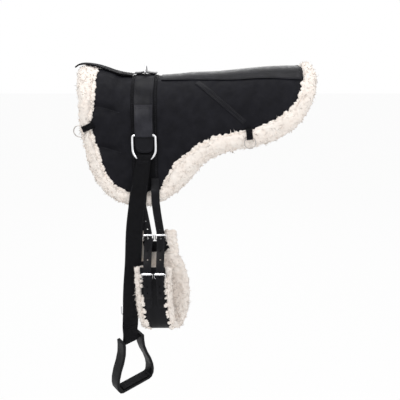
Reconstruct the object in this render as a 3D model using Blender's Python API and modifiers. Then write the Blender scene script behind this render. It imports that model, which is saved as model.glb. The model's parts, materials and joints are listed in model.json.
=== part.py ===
"""Bareback pad with fleece lining, surcingle, stirrups and a looped girth.

Metres, +Z up, the horse's head toward -X. The near side is -Y. The origin lies on the underside of
the pad, on the spine, below the middle of the surcingle.
"""
import math

import bmesh
import bpy
from mathutils import Matrix, Vector

# Clearance that touching pieces keep
GAP = 0.0003
# Clearance along the seam between the padding and the fleece roll
EDGE_GAP = 0.0009

# Pad
PAD_LENGTH = 0.640
PAD_FALL = 0.400
ARCH_RADIUS = 0.095
SPLAY = math.radians(8)
COVER_THICK = 0.004
FOAM_THICK = 0.010
LINING_THICK = 0.0155
PILLOW_RISE = 0.004
CHANNEL_DEPTH = 0.0025
CHANNEL_WIDTH = 0.012
FLEECE_CROWN = 0.012
SPINE_RISE = 0.026
PAD_THICK = COVER_THICK + FOAM_THICK + LINING_THICK + 2 * GAP
RIDGE_HEIGHT = PAD_THICK

# Height of the ridge over its lowest stretch, along the pad
RIDGE_SHARES = ((-0.297, 0.73), (-0.190, 0.55), (-0.088, 0), (0.07, 0), (0.219, 0.31), (0.594, 0.96),
                (0.703, 1))
# Edge of the cover, and the outer edge of the fleece, each from the ridge down the front, along the
# bottom and from the ridge down the rear: place along the pad, and fall from the ridge
COVER_FRONT_SHARES = (
    (-0.208, 0), (-0.205, 0.200), (-0.209, 0.300), (-0.220, 0.412),
    (-0.217, 0.522), (-0.198, 0.638),
)
COVER_BOTTOM_SHARES = (
    (-0.198, 0.638), (-0.172, 0.762), (-0.136, 0.835), (-0.078, 0.872), (0.010, 0.882),
    (0.064, 0.842), (0.094, 0.757), (0.136, 0.670), (0.191, 0.612), (0.255, 0.545),
    (0.328, 0.517), (0.411, 0.503), (0.473, 0.485), (0.536, 0.448), (0.597, 0.380),
)
COVER_REAR_SHARES = ((0.650, 0), (0.650, 0.080), (0.641, 0.215), (0.626, 0.310), (0.597, 0.380))
FLEECE_FRONT_SHARES = (
    (-0.294, 0), (-0.282, 0.188), (-0.274, 0.300), (-0.274, 0.415),
    (-0.269, 0.515), (-0.252, 0.660),
)
FLEECE_BOTTOM_SHARES = (
    (-0.252, 0.660), (-0.230, 0.800), (-0.180, 0.920), (-0.094, 0.968), (0.010, 0.976),
    (0.110, 0.905), (0.172, 0.835), (0.214, 0.765), (0.250, 0.698), (0.297, 0.657),
    (0.347, 0.635), (0.439, 0.623), (0.508, 0.600), (0.581, 0.550), (0.644, 0.462),
)
FLEECE_REAR_SHARES = ((0.702, 0), (0.703, 0.122), (0.701, 0.230), (0.683, 0.345), (0.644, 0.462))
# The two quilting channels of the front panel, as falls
CHANNEL_SHARES = (0.340, 0.600)
FRONT_PANEL_REAR_SHARE = -0.112

# Spine panel and wither strap
SPINE_PANEL_THICK = 0.0018
SPINE_PANEL_SHARES = ((0.065, 0.10), (0.225, 0.128), (0.42, 0.155), (0.640, 0.185))
WITHER_THICK = 0.004
WITHER_WIDTH = 0.040

# Surcingle
SURCINGLE_X = -0.002
BASE_WIDTH = 0.068
BASE_THICK = 0.0022
BASE_SHORT = 0.064
BASE_FALL = PAD_FALL - BASE_SHORT
STRAP_WIDTH = 0.050
STRAP_THICK = 0.0030
STRAP_FALL = 0.240
STRAP_ROUND = 0.022
# Shares of that rounding at the strap's last rows
STRAP_ROUND_SHARES = (0.55, 0.87, 1)
CHAPE_WIDTH = 0.046
CHAPE_THICK = 0.0022
CHAPE_TOP_FALL = 0.117
CHAPE_TAIL = 0.030
CHAPE_SLOPE = 0.030

# Main D-ring, measured at the middle of its wire
RING_WIRE = 0.0035
RING_HALF = 0.0305
RING_BAR_FALL = 0.1925
RING_HEIGHT = 0.067
RING_CORNER = 0.006
RING_TURN = math.radians(6.7)

# Handle ring on the ridge
KEEPER_THICK = 0.0025
KEEPER_WIDTH = 0.028
KEEPER_LENGTH = 0.060
TOP_RING_HALF = 0.0125
TOP_RING_WIRE = 0.0018
TOP_RING_HEIGHT = 0.017

# Small rings at the corners
TAB_WIDTH = 0.016
TAB_THICK = 0.0020
TAB_LENGTH = 0.028
SMALL_RING_RADIUS = 0.0150
SMALL_RING_WIRE = 0.0015
SMALL_RING_STEPS = 16
SMALL_RING_BAR = 0.0095
REAR_TAB_SHARE = (0.422, 0.475)
REAR_TAB_TURN = math.radians(6)
FRONT_TAB_SHARE = (-0.205, 0.450)
FRONT_TAB_TURN = math.radians(-62)
BRACE_WIDTH = 0.014
BRACE_THICK = 0.0016
BRACE_START_SHARE = (0.2125, 0.150)
BRACE_END_SHARE = (0.407, 0.442)

# Billets
BILLET_WIDTH = 0.0220
BILLET_THICK = 0.0030
BILLET_HOLE_RADIUS = 0.0021

# Hanging pieces. Depths are below the underside of the pad at the spine. What hangs over the pad's lower edge
# has its places from where the billets leave that edge: outward, inward and down.
HANG_BEYOND = 0.0040
HANG_START_BELOW = 0.0056
SHOULDER_IN = 0.0008
SHOULDER_ABOVE = 0.0274
NEAR_BAR_DEPTH = 0.728
FAR_BAR_DEPTH = 0.668
NEAR_SWAY = 0.063
FAR_SWAY = 0.073
LOOP_CLEARANCE = 0.0008
LOOP_RISE = 0.0095
STRAP_FORK = 0.022
# Stations down a stirrup strap, from where it hangs free to where its plies part over the stirrup's bar
STRAP_STATION_SHARES = (0.135, 0.277, 0.419, 0.560, 0.702, 0.844, 0.875, 0.905, 0.936, 0.967, 1)
# How far forward a strap hangs: shares of its bar's depth and of its sway
NEAR_STRAP_SHARES = ((0.220, 0), (0.275, 0.127), (0.375, 0.317), (0.490, 0.516), (0.580, 0.619), (0.805, 0.873),
                     (0.968, 1), (1, 1))
FAR_STRAP_SHARES = ((0.240, 0), (0.299, 0.164), (0.409, 0.438), (0.534, 0.685), (0.632, 0.808), (0.877, 0.945),
                    (0.966, 1), (1, 1))
# The strap's neck in the ring, as shares of the depth at which it hangs free and of its width
NECK_SHARES = ((0.618, 0.80), (0.777, 1.0))
# Its twist: shares of its free length and of the stirrup's turn
TWIST_SHARES = ((0.820, 0), (0.960, 1))
STRAP_BUCKLE_SHARE = 0.775

# Billets
BILLET_DROP = 0.0051
BILLET_END_LENGTH = 0.083
FREE_BILLET_LENGTH = 0.2695
# A billet's sewn stretch: shares of the pad's fall, and of the way from the base strip's face to the fleece's
BILLET_SEWN_SHARES = ((0.770, 0), (0.8125, 0), (0.8325, 0.452), (0.8475, 0.875), (0.875, 0.990), (0.915, 1))
# Its hanging stretch: spans of its depth (start, upper roller, lower roller, end), shares of its way outward
BILLET_WAY_SHARES = ((0, 0.144), (0.330, 0.126), (0.685, 0.042), (0.990, 0), (1.240, 0.063), (1.510, 0.377),
                     (1.729, 0.753), (1.875, 0.941), (2.060, 1), (2.904, 1), (3, 1))
FREE_BILLET_SHARES = (0, 0.237, 0.482, 0.762, 0.972, 1)
# Places along the pad: shares of a billet's depth, and of half the base strip's width from its middle
FRONT_BILLET_SHARES = ((0.380, -0.471), (0.516, -0.324), (0.589, -0.118), (0.671, 0.059), (0.804, 0.029),
                       (0.902, -0.029))
REAR_BILLET_SHARES = ((0.380, 0.765), (0.516, 0.794), (0.589, 0.912), (0.671, 1.088), (0.804, 1.059),
                      (0.902, 1))
FAR_FRONT_BILLET_SHARES = ((0.375, -0.471), (0.509, -0.706), (0.739, -1.412), (0.880, -1.588), (1, -1.647))
FAR_REAR_BILLET_SHARES = ((0.375, 0.706), (0.509, 0.471), (0.739, -0.029), (0.880, 0.206), (1, 0.265))
BILLET_HOLE_SHARES = (0.584, 0.843, 1.458, 1.667, 2.518, 2.759)
FREE_BILLET_HOLE_SHARES = (0.289, 0.377, 0.464, 0.552, 0.639, 0.727)
BILLET_TIP_SHARES = (0.9, 0.5)

# Girth
UPPER_ROLLER_DROP = 0.0985
ROLLER_PITCH = 0.096
UPPER_BILLET_IN = 0.0061
LOWER_BILLET_BEYOND = 0.0417
GIRTH_DROP = 0.307
GIRTH_INNER_IN = 0.0486
GIRTH_SWAY = 0.060
GIRTH_BODY_WIDTH = 0.070
GIRTH_BODY_THICK = 0.005
GIRTH_FLEECE_WIDTH = 0.112
GIRTH_FLEECE_THICK = 0.016
# The girth's line: shares of its sway, then spans from its upper end to the inner ply and on to its lower
# end, outward and in depth
GIRTH_SHARES = (
    (0.283, 0.000, 0.094), (0.317, 0.007, 0.134), (0.433, 0.125, 0.192), (0.567, 0.327, 0.251),
    (0.733, 0.562, 0.322), (0.867, 0.798, 0.420), (0.967, 0.966, 0.550), (1.000, 1.000, 0.681),
    (0.983, 1.013, 0.795), (0.917, 1.077, 0.893), (0.817, 1.206, 0.961), (0.700, 1.400, 1.000),
    (0.567, 1.632, 1.000), (0.450, 1.826, 1.057), (0.350, 1.942, 1.156), (0.283, 1.991, 1.299),
    (0.233, 2.000, 1.464), (0.217, 2.000, 1.796), (0.200, 2.000, 2.047),
)
GIRTH_FLEECE_SKIP_COUNT = 2
# The fleece's section: shares of half its width and of its thickness
FLEECE_SECTION_SHARES = (
    (-0.66, 0), (-0.68, -0.28), (-0.84, -0.42), (-0.97, -0.05), (-1.0, 0.40), (-0.86, 0.85), (-0.5, 1.0),
    (0.5, 1.0), (0.86, 0.85), (1.0, 0.40), (0.97, -0.05), (0.84, -0.42), (0.68, -0.28), (0.66, 0),
)
FLEECE_END_SHARES = (0.97, 0.8)
UPPER_CHAPE_LENGTH = 0.0235
UPPER_CHAPE_SHARES = (0.468, 0.915, 1)
LOWER_CHAPE_LENGTH = 0.101
LOWER_CHAPE_SHARES = (0.109, 0.624, 0.871, 1)
CHAPE_TIP_SHARES = (0.86, 0.5)
TONGUE_HOLE_DROP = 0.0114
TONGUE_HOLE_STRETCH_SHARE = 2.0
TONGUE_SLOT = 0.0040

# Grid of the padding
COLUMNS = 21
ARCH_ROWS = 7
FLAP_ROWS = 5
BISECTIONS = 30
SPINE_COLUMNS = 14
SPINE_ROWS = 3
WELD = 0.00005

# Girth buckles
BUCKLE_WIRE = 0.0018
BUCKLE_WIDTH = 0.0300
BUCKLE_HEIGHT = 0.020
ROLLER_WALL = 0.0011
ROLLER_END_GAP = 0.0006
TONGUE_WIRE = 0.0012
GIRTH_CHAPE_WIDTH = 0.0245
GIRTH_CHAPE_THICK = 0.0020

# Stirrup strap
LEATHER_WIDTH = 0.046
LEATHER_THICK = 0.0026
LEATHER_GAP = 0.0012
LEATHER_TURN = math.radians(40)
STRAP_BUCKLE_WIDTH = 0.058
STRAP_BUCKLE_HEIGHT = 0.030
STRAP_BUCKLE_WIRE = 0.0022

# Stirrup
STIRRUP_HEIGHT = 0.168
STIRRUP_TOP_HALF = 0.037
STIRRUP_LOW_HALF = 0.067
STIRRUP_WIDTH = 0.036
STIRRUP_WALL = 0.009
STIRRUP_BAR_RADIUS = 0.0060
# Half the frame's outline: which half width it follows, shares of that and of the height, and for the inner
# face the shares of the wall inward and upward
STIRRUP_SHARES = (
    ("top", 1, -0.055, 1, 0), ("top", 1, 0.06, 1, 0), ("top", 1.06, 0.20, 1, 0), ("low", 0.70, 0.36, 1.04, 0),
    ("low", 0.86, 0.52, 1.02, 0), ("low", 0.97, 0.68, 1, 0), ("low", 1, 0.80, 1, 0),
    ("low", 0.97, 0.90, 0.95, 0.25), ("low", 0.86, 0.975, 0.35, 0.85), ("low", 0.72, 1, 0, 1),
)
STIRRUP_EDGE = 0.0012
TREAD_PAD_THICK = 0.0030
TREAD_PAD_LENGTH = 0.088
TREAD_PAD_INSET = 0.004

NEAR, FAR = -1, 1

for old in list(bpy.data.objects):
    bpy.data.objects.remove(old, do_unlink=True)
parts = bpy.data.collections.new("bareback_pad")
cutters = bpy.data.collections.new("cutters")
bpy.context.scene.collection.children.link(parts)
bpy.context.scene.collection.children.link(cutters)

MATERIALS = {
    "leather": ((0.016, 0.016, 0.021), 0.42, 0.0),
    "webbing": ((0.011, 0.011, 0.014), 0.70, 0.0),
    "fleece": ((0.86, 0.80, 0.72), 0.95, 0.0),
    "foam": ((0.30, 0.30, 0.32), 0.90, 0.0),
    "chrome": ((0.80, 0.80, 0.82), 0.18, 1.0),
    "plastic": ((0.014, 0.014, 0.015), 0.38, 0.0),
    "rubber": ((0.020, 0.020, 0.022), 0.75, 0.0),
}


def material(name, finish):
    """One Principled material for one sub-part."""
    colour, roughness, metallic = MATERIALS[finish]
    made = bpy.data.materials.new(name + "_" + finish)
    made.use_nodes = True
    shader = made.node_tree.nodes["Principled BSDF"]
    shader.inputs["Base Color"].default_value = (*colour, 1)
    shader.inputs["Roughness"].default_value = roughness
    shader.inputs["Metallic"].default_value = metallic
    made.diffuse_color = (*colour, 1)
    return made


def finish_object(obj, finish, smooth=True):
    """Link an object to the part, with its own material."""
    parts.objects.link(obj)
    obj.data.materials.append(material(obj.name, finish))
    if obj.type == "MESH":
        obj.data.shade_smooth() if smooth else obj.data.shade_flat()
    return obj


def mesh_object(name, bm, finish, smooth=True):
    """Turn a bmesh into a named sub-part."""
    bmesh.ops.recalc_face_normals(bm, faces=bm.faces[:])
    mesh = bpy.data.meshes.new(name)
    bm.to_mesh(mesh)
    bm.free()
    return finish_object(bpy.data.objects.new(name, mesh), finish, smooth)


def side_name(side):
    return "near" if side == NEAR else "far"


def between(table, x):
    """Smooth interpolation in a table of pairs."""
    if x <= table[0][0]:
        return table[0][1]
    for (x0, y0), (x1, y1) in zip(table, table[1:]):
        if x <= x1:
            t = (x - x0) / (x1 - x0)
            return y0 + (y1 - y0) * t * t * (3 - 2 * t)
    return table[-1][1]


def along(levels, place):
    """A value on a chain of spans: a whole number is a level, and the rest a share of the span after it."""
    i = min(int(place), len(levels) - 2)
    return levels[i] + (levels[i + 1] - levels[i]) * (place - i)


def ridge(x):
    """Height of the cover's top along the pad."""
    return RIDGE_HEIGHT + SPINE_RISE * between(RIDGE_SHARES, x / PAD_LENGTH)


def skin(x, fall, lift, side=NEAR):
    """A point over the pad's outer face: a distance along the arch from the ridge, and a height over it."""
    top = ridge(x)
    turn = min(fall / ARCH_RADIUS, math.pi / 2 - SPLAY)
    rest = fall - ARCH_RADIUS * turn
    out = (ARCH_RADIUS + lift) * math.sin(turn) + rest * math.cos(turn)
    up = (ARCH_RADIUS + lift) * math.cos(turn) - rest * math.sin(turn)
    return Vector((x, side * out, top - ARCH_RADIUS + up))


# Where the billets leave the pad's lower edge, and what hangs from there
EDGE_LIFT = FLEECE_CROWN + BILLET_THICK / 2 + 4 * GAP
EDGE = skin(SURCINGLE_X, BILLET_SEWN_SHARES[-1][0] * PAD_FALL, EDGE_LIFT)
EDGE_OUT, EDGE_DEPTH = abs(EDGE.y), -EDGE.z
HANG_INNER = EDGE_OUT + HANG_BEYOND
HANG_START_DEPTH = EDGE_DEPTH + HANG_START_BELOW
SHOULDER_OUT = EDGE_OUT - SHOULDER_IN
SHOULDER_DEPTH = EDGE_DEPTH - SHOULDER_ABOVE
BILLET_START_DEPTH = EDGE_DEPTH + BILLET_DROP
UPPER_ROLLER_DEPTH = BILLET_START_DEPTH + UPPER_ROLLER_DROP
LOWER_ROLLER_DEPTH = UPPER_ROLLER_DEPTH + ROLLER_PITCH
BILLET_DEPTH = LOWER_ROLLER_DEPTH + BILLET_END_LENGTH
FREE_BILLET_DEPTH = BILLET_START_DEPTH + FREE_BILLET_LENGTH
FREE_BILLET_OUT = EDGE_OUT + GAP
UPPER_BILLET_OUT = EDGE_OUT - UPPER_BILLET_IN
LOWER_BILLET_OUT = EDGE_OUT + LOWER_BILLET_BEYOND
GIRTH_BOTTOM_DEPTH = UPPER_ROLLER_DEPTH + GIRTH_DROP
GIRTH_INNER_OUT = EDGE_OUT - GIRTH_INNER_IN


def curve_point(table, t):
    """A smooth curve through a table of shares, at t from 0 to 1, in real sizes."""
    place = t * (len(table) - 1)
    i = min(int(place), len(table) - 2)
    f = place - i
    p1, p2 = Vector(table[i]), Vector(table[i + 1])
    p0 = Vector(table[i - 1]) if i > 0 else 2 * p1 - p2
    p3 = Vector(table[i + 2]) if i + 2 < len(table) else 2 * p2 - p1
    square, cube = 2 * p0 - 5 * p1 + 4 * p2 - p3, 3 * p1 - p0 - 3 * p2 + p3
    share = 0.5 * (2 * p1 + (p2 - p0) * f + square * f**2 + cube * f**3)
    return share.x * PAD_LENGTH, share.y * PAD_FALL


def patch(u, v):
    """A place on one flap of the cover: u from front to rear, v from the ridge to the lower edge."""
    front, rear = COVER_FRONT_SHARES, COVER_REAR_SHARES
    bottom = COVER_BOTTOM_SHARES
    f, r = Vector(curve_point(front, v)), Vector(curve_point(rear, v))
    b = Vector(curve_point(bottom, u))
    corners = [Vector(curve_point(t, e)) for t, e in ((front, 0), (rear, 0), (front, 1), (rear, 1))]
    top = corners[0].lerp(corners[1], u)
    straight = corners[0].lerp(corners[1], u).lerp(corners[2].lerp(corners[3], u), v)
    return top.lerp(b, v) + f.lerp(r, u) - straight


def pillow(x, fall):
    """Height of the cover's quilting over the plain arch."""
    edge = FRONT_PANEL_REAR_SHARE * PAD_LENGTH
    falls = [s * PAD_FALL for s in CHANNEL_SHARES]
    near_edge = min(max((edge - x) / CHANNEL_WIDTH, 0), 1)
    dip = max(math.exp(-(((fall - f) / CHANNEL_WIDTH) ** 2)) for f in falls)
    return near_edge * (PILLOW_RISE * (1 - dip) - CHANNEL_DEPTH * dip)


def flap_rows(u):
    """Rows down one column of a flap: even steps over the arch, then even steps to the lower edge."""
    arch = ARCH_RADIUS * (math.pi / 2 - SPLAY)
    rows = [0.0]
    for k in range(1, ARCH_ROWS + 1):
        low, high = rows[-1], 1.0
        for _ in range(BISECTIONS):
            middle = (low + high) / 2
            if patch(u, middle).y < arch * k / ARCH_ROWS:
                low = middle
            else:
                high = middle
        rows.append((low + high) / 2)
    return rows + run(rows[-1], 1, FLAP_ROWS)[1:]


def sheet(name, place, outer, inner, finish, columns, rows):
    """A sheet over both flaps: a grid, extruded to its thickness, then laid over the arch.

    place(i, j) gives a column's and a row's place along the pad and its fall.
    """
    bm = bmesh.new()
    bmesh.ops.create_grid(bm, x_segments=columns, y_segments=2 * rows, size=1)
    top = bm.verts[:]
    made = bmesh.ops.extrude_face_region(bm, geom=bm.faces[:], use_keep_orig=True)
    under = [v for v in made["geom"] if isinstance(v, bmesh.types.BMVert)]
    for verts, lift in ((top, outer), (under, inner)):
        for v in verts:
            side = NEAR if v.co.y < 0 else FAR
            x, fall = place(round((v.co.x + 1) / 2 * columns), round(abs(v.co.y) * rows))
            v.co = skin(x, fall, lift(x, fall), side)
    return mesh_object(name, bm, finish)


def pad_grid():
    """The flap's places, column by column, shared by every layer of the padding."""
    return [[tuple(patch(i / COLUMNS, v)) for v in flap_rows(i / COLUMNS)] for i in range(COLUMNS + 1)]


def arch_rows(fall, lower):
    """Falls for a strap over the pad: the arch's own rows, then a few down to its end."""
    arch = ARCH_RADIUS * (math.pi / 2 - SPLAY)
    return run(0, arch, ARCH_ROWS) + run(arch, fall, lower)[1:]


def loft(name, rings, finish, closed=False, smooth=True):
    """A skin over sections that differ along their way."""
    bm = bmesh.new()
    loops = [[bm.verts.new(p) for p in ring] for ring in rings]
    for a, b in zip(loops, loops[1:] + (loops[:1] if closed else [])):
        for i in range(len(a)):
            j = (i + 1) % len(a)
            bm.faces.new((a[i], a[j], b[j], b[i]))
    if not closed:
        bm.faces.new(loops[0])
        bm.faces.new(loops[-1][::-1])
    return mesh_object(name, bm, finish, smooth)


def ribbon(name, path, across, width, thick, finish, smooth=True):
    """A flat strap: a strip of faces along its middle line, given its thickness by Solidify."""
    bm = bmesh.new()
    bmesh.ops.create_grid(bm, x_segments=len(path) - 1, y_segments=1, size=1)
    for v in bm.verts:
        i = round((v.co.x + 1) / 2 * (len(path) - 1))
        w = width[i] if isinstance(width, (list, tuple)) else width
        a = across[i] if isinstance(across, (list, tuple)) else across
        v.co = path[i] + a * (w / 2 * (1 if v.co.y > 0 else -1))
    obj = mesh_object(name, bm, finish, smooth)
    shell = obj.modifiers.new("thickness", "SOLIDIFY")
    shell.thickness = thick
    shell.offset = 0
    shell.use_even_offset = True
    return obj


def wire(name, points, radius, finish, closed=False, resolution=2):
    """A round wire along a line of points."""
    curve = bpy.data.curves.new(name, "CURVE")
    curve.dimensions = "3D"
    curve.bevel_depth = radius
    curve.bevel_resolution = resolution
    curve.use_fill_caps = not closed
    spline = curve.splines.new("POLY")
    spline.points.add(len(points) - 1)
    for target, p in zip(spline.points, points):
        target.co = (*p, 1)
    spline.use_cyclic_u = closed
    spline.use_smooth = True
    return finish_object(bpy.data.objects.new(name, curve), finish)


def arc(centre, radius, start, end, steps):
    """Points on an arc in a plane, as pairs."""
    angles = [start + (end - start) * i / steps for i in range(steps + 1)]
    return [(centre[0] + radius * math.cos(a), centre[1] + radius * math.sin(a)) for a in angles]


def run(start, end, steps):
    """Evenly spaced values from one to another."""
    return [start + (end - start) * i / steps for i in range(steps + 1)]


# Padding: cover, foam, lining and fleece roll

def build_padding():
    grid = pad_grid()
    foam_top = COVER_THICK + GAP
    foam_base = foam_top + FOAM_THICK

    def place(i, j):
        return grid[i][j]

    rows = ARCH_ROWS + FLAP_ROWS
    sheet("pad_cover", place, pillow, lambda x, s: pillow(x, s) - COVER_THICK, "leather", COLUMNS, rows)
    sheet("foam_core", place, lambda x, s: pillow(x, s) - foam_top, lambda x, s: -foam_base, "foam",
          COLUMNS, rows)
    sheet("fleece_lining", place, lambda x, s: -foam_base - GAP, lambda x, s: -PAD_THICK, "fleece",
          COLUMNS, rows)
    fleece_roll()


def roll_sections():
    """Inner and outer edge of the fleece roll, once round the pad, at the padding's own columns and rows."""
    front = [(curve_point(COVER_FRONT_SHARES, v), curve_point(FLEECE_FRONT_SHARES, v)) for v in flap_rows(0)]
    rear = [(curve_point(COVER_REAR_SHARES, v), curve_point(FLEECE_REAR_SHARES, v)) for v in flap_rows(1)]
    along = run(0, 1, COLUMNS)
    low = [(curve_point(COVER_BOTTOM_SHARES, u), curve_point(FLEECE_BOTTOM_SHARES, u)) for u in along]
    pairs = front[:-1] + low[:-1] + rear[::-1]
    return [(*pair, NEAR) for pair in pairs] + [(*pair, FAR) for pair in pairs[1:-1][::-1]]


# Section of the roll: share of its width, and share of its height over or under the cover's face
ROLL_SHARES = ((0, 0.30), (0.12, 0.85), (0.40, 1.0), (0.70, 0.75), (0.92, 0), (1.0, -0.60))
ROLL_UNDER_SHARES = ((0.88, -1.0), (0.03, -1.0))


def fleece_roll():
    rings = []
    for inner, outer, side in roll_sections():
        inner, outer = Vector(inner), Vector(outer)
        inner += (outer - inner).normalized() * EDGE_GAP
        ring = []
        for share, height in ROLL_SHARES + ROLL_UNDER_SHARES:
            place = inner.lerp(outer, share)
            lift = height * (FLEECE_CROWN if height > 0 else PAD_THICK)
            ring.append(skin(place.x, abs(place.y), lift, side))
        rings.append(ring)
    loft("fleece_roll", rings, "fleece", closed=True)


# Straps and fittings on the pad

def pad_strap(name, width, fall, lift, thick, finish, round_end=0.0, lower=4):
    """A strap over the ridge from flap to flap, at one height, with straight or rounded ends."""
    falls = arch_rows(fall, lower)
    if round_end:
        falls = arch_rows(fall - round_end, lower) + [fall - round_end * (1 - s) for s in STRAP_ROUND_SHARES]

    def place(i, j):
        over = max(falls[j] - (fall - round_end), 0) / round_end if round_end else 0
        half = width / 2 * (math.sqrt(1 - over**2) * 0.6 + 0.4 if over else 1)
        return SURCINGLE_X + half * (i - 1), falls[j]

    sheet(name, place, lambda x, s: lift + thick, lambda x, s: lift, finish, 2, len(falls) - 1)


BASE_LIFT = GAP
STRAP_LIFT = BASE_LIFT + BASE_THICK + GAP
CHAPE_LIFT = STRAP_LIFT + STRAP_THICK + GAP
RING_BAR_LIFT = CHAPE_LIFT + CHAPE_THICK + GAP + RING_WIRE


def spine_panel():
    first, last = SPINE_PANEL_SHARES[0][0], SPINE_PANEL_SHARES[-1][0]

    def place(i, j):
        share = first + (last - first) * i / SPINE_COLUMNS
        return share * PAD_LENGTH, between(SPINE_PANEL_SHARES, share) * PAD_FALL * j / SPINE_ROWS

    lift = 3.2 * GAP
    sheet("spine_panel", place, lambda x, s: lift + SPINE_PANEL_THICK, lambda x, s: lift, "leather",
          SPINE_COLUMNS, SPINE_ROWS)


# The wither strap's place along the pad, its height over the cover as a share of the fleece crown,
# and its width as a share of the full width
WITHER_SHARES = (
    (-0.298, 0.15, 0.40), (-0.287, 0.62, 0.42), (-0.272, 0.92, 0.46), (-0.255, 1.06, 0.50),
    (-0.230, 1.08, 0.58), (-0.208, 0.98, 0.68), (-0.185, 0.72, 0.80), (-0.160, 0.52, 0.92),
    (-0.130, 0.42, 1.0), (-0.100, 0.40, 1.0), (-0.080, 0.30, 1.0), (-0.0575, 0.14, 1.0),
)


def wither_strap():
    def place(i, j):
        return WITHER_SHARES[i][0] * PAD_LENGTH, WITHER_SHARES[i][2] * WITHER_WIDTH / 2 * j / 2

    lifts = [(share * PAD_LENGTH, height * FLEECE_CROWN) for share, height, _ in WITHER_SHARES]

    def under(x, fall):
        return min(lifts, key=lambda entry: abs(entry[0] - x))[1] + GAP

    sheet("wither_strap", place, lambda x, s: under(x, s) + WITHER_THICK, under, "webbing",
          len(WITHER_SHARES) - 1, 2)


def ring_chape(side):
    """The glossy strap end that carries the main ring: its outer ply, the fold round the bar, its tail."""
    radius = RING_WIRE + GAP + CHAPE_THICK / 2
    outer = RING_BAR_LIFT + radius
    inner = RING_BAR_LIFT - radius
    path = [(f, outer) for f in run(CHAPE_TOP_FALL + CHAPE_SLOPE, RING_BAR_FALL, 4)]
    path = [(CHAPE_TOP_FALL, CHAPE_LIFT + CHAPE_THICK / 2)] + path
    turn = arc((RING_BAR_FALL, RING_BAR_LIFT), radius, math.pi / 2, -math.pi / 2, 10)[1:]
    tail = [(RING_BAR_FALL - CHAPE_TAIL, inner)]
    points = [skin(SURCINGLE_X, f, lift, side) for f, lift in path + turn + tail]
    ribbon(side_name(side) + "_ring_chape", points, Vector((1, 0, 0)), CHAPE_WIDTH, CHAPE_THICK, "leather")


def ring_frame(side):
    """Turn and place of a main ring: its bar on the hinge line, its hoop leaning with the flap."""
    centre = skin(SURCINGLE_X, RING_BAR_FALL, RING_BAR_LIFT, side)
    turn = Matrix.Rotation(side * RING_TURN, 4, "X")
    return Matrix.Translation(centre) @ turn


def d_ring_points():
    """A D: straight bar on top, rounded corners, and a half round below, in its own plane."""
    h, c = RING_HALF, RING_CORNER
    drop = RING_HEIGHT - h
    points = [(x, 0.0) for x in run(-h + c, h - c, 2)]
    points += arc((h - c, -c), c, math.pi / 2, 0, 3)[1:]
    points += arc((0, -drop), h, 0, -math.pi, 14)
    points += arc((-h + c, -c), c, math.pi, math.pi / 2, 3)[:-1]
    return [Vector((x, 0, z)) for x, z in points]


def main_ring(side):
    obj = wire(side_name(side) + "_d_ring", d_ring_points(), RING_WIRE, "chrome", closed=True)
    obj.matrix_world = ring_frame(side)


def top_ring():
    """The handle ring that stands on the ridge in its keeper."""
    lift = STRAP_LIFT + STRAP_THICK + GAP
    radius = TOP_RING_WIRE + GAP + KEEPER_THICK / 2
    across = Vector((0, 1, 0))
    base = lift + KEEPER_THICK / 2
    half = KEEPER_LENGTH / 2
    rise = radius + TOP_RING_WIRE
    path = [(-half, base), (-half / 2, base), (-rise, base + rise / 2)]
    crown = arc((0, TOP_RING_WIRE + GAP), radius, math.pi * 0.85, math.pi * 0.15, 6)
    path += [(x, base + z) for x, z in crown]
    path += [(rise, base + rise / 2), (half / 2, base), (half, base)]
    top = Vector((SURCINGLE_X, 0, ridge(SURCINGLE_X)))
    places = [top + Vector((x, 0, z)) for x, z in path]
    ribbon("top_keeper", places, across, KEEPER_WIDTH, KEEPER_THICK, "leather")
    c = TOP_RING_WIRE * 2
    h = TOP_RING_HALF + KEEPER_WIDTH / 2
    points = [(y, 0.0) for y in run(-h + c, h - c, 2)] + arc((h - c, c), c, -math.pi / 2, 0, 2)[1:]
    points += [(h * math.cos(a), c + TOP_RING_HEIGHT * math.sin(a)) for a in run(0, math.pi, 12)[1:-1]]
    points += arc((-h + c, c), c, math.pi, math.pi * 1.5, 2)[:-1]
    ring = wire("top_ring", [Vector((0, y, z)) for y, z in points], TOP_RING_WIRE, "chrome", closed=True)
    ring.location = top + Vector((0, 0, base + TOP_RING_WIRE + GAP - KEEPER_THICK / 2))


# Small rings at the corners of the pad, with their tabs and braces

TAB_RISE_SHARES = ((0, 0.10), (0.12, 0.10), (0.27, 1.08), (0.45, 1.14), (0.80, 1.14))


def tab_place(share, turn, along):
    """A place reached from a tab's start, along the tab."""
    return share[0] * PAD_LENGTH + along * math.sin(turn), share[1] * PAD_FALL + along * math.cos(turn)


def tab_frame(share, turn, side):
    """Axes of a small ring's hinge: across the tab, out of the pad, and along the tab."""
    lift = SMALL_RING_LIFT
    origin = skin(*tab_place(share, turn, TAB_LENGTH), lift, side)
    along = (skin(*tab_place(share, turn, TAB_LENGTH + GAP), lift, side) - origin).normalized()
    out = (skin(*tab_place(share, turn, TAB_LENGTH), lift + GAP, side) - origin).normalized()
    across = along.cross(out).normalized()
    return origin, across, out, along


SMALL_RING_LIFT = FLEECE_CROWN + 2 * GAP + TAB_THICK + SMALL_RING_WIRE


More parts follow.
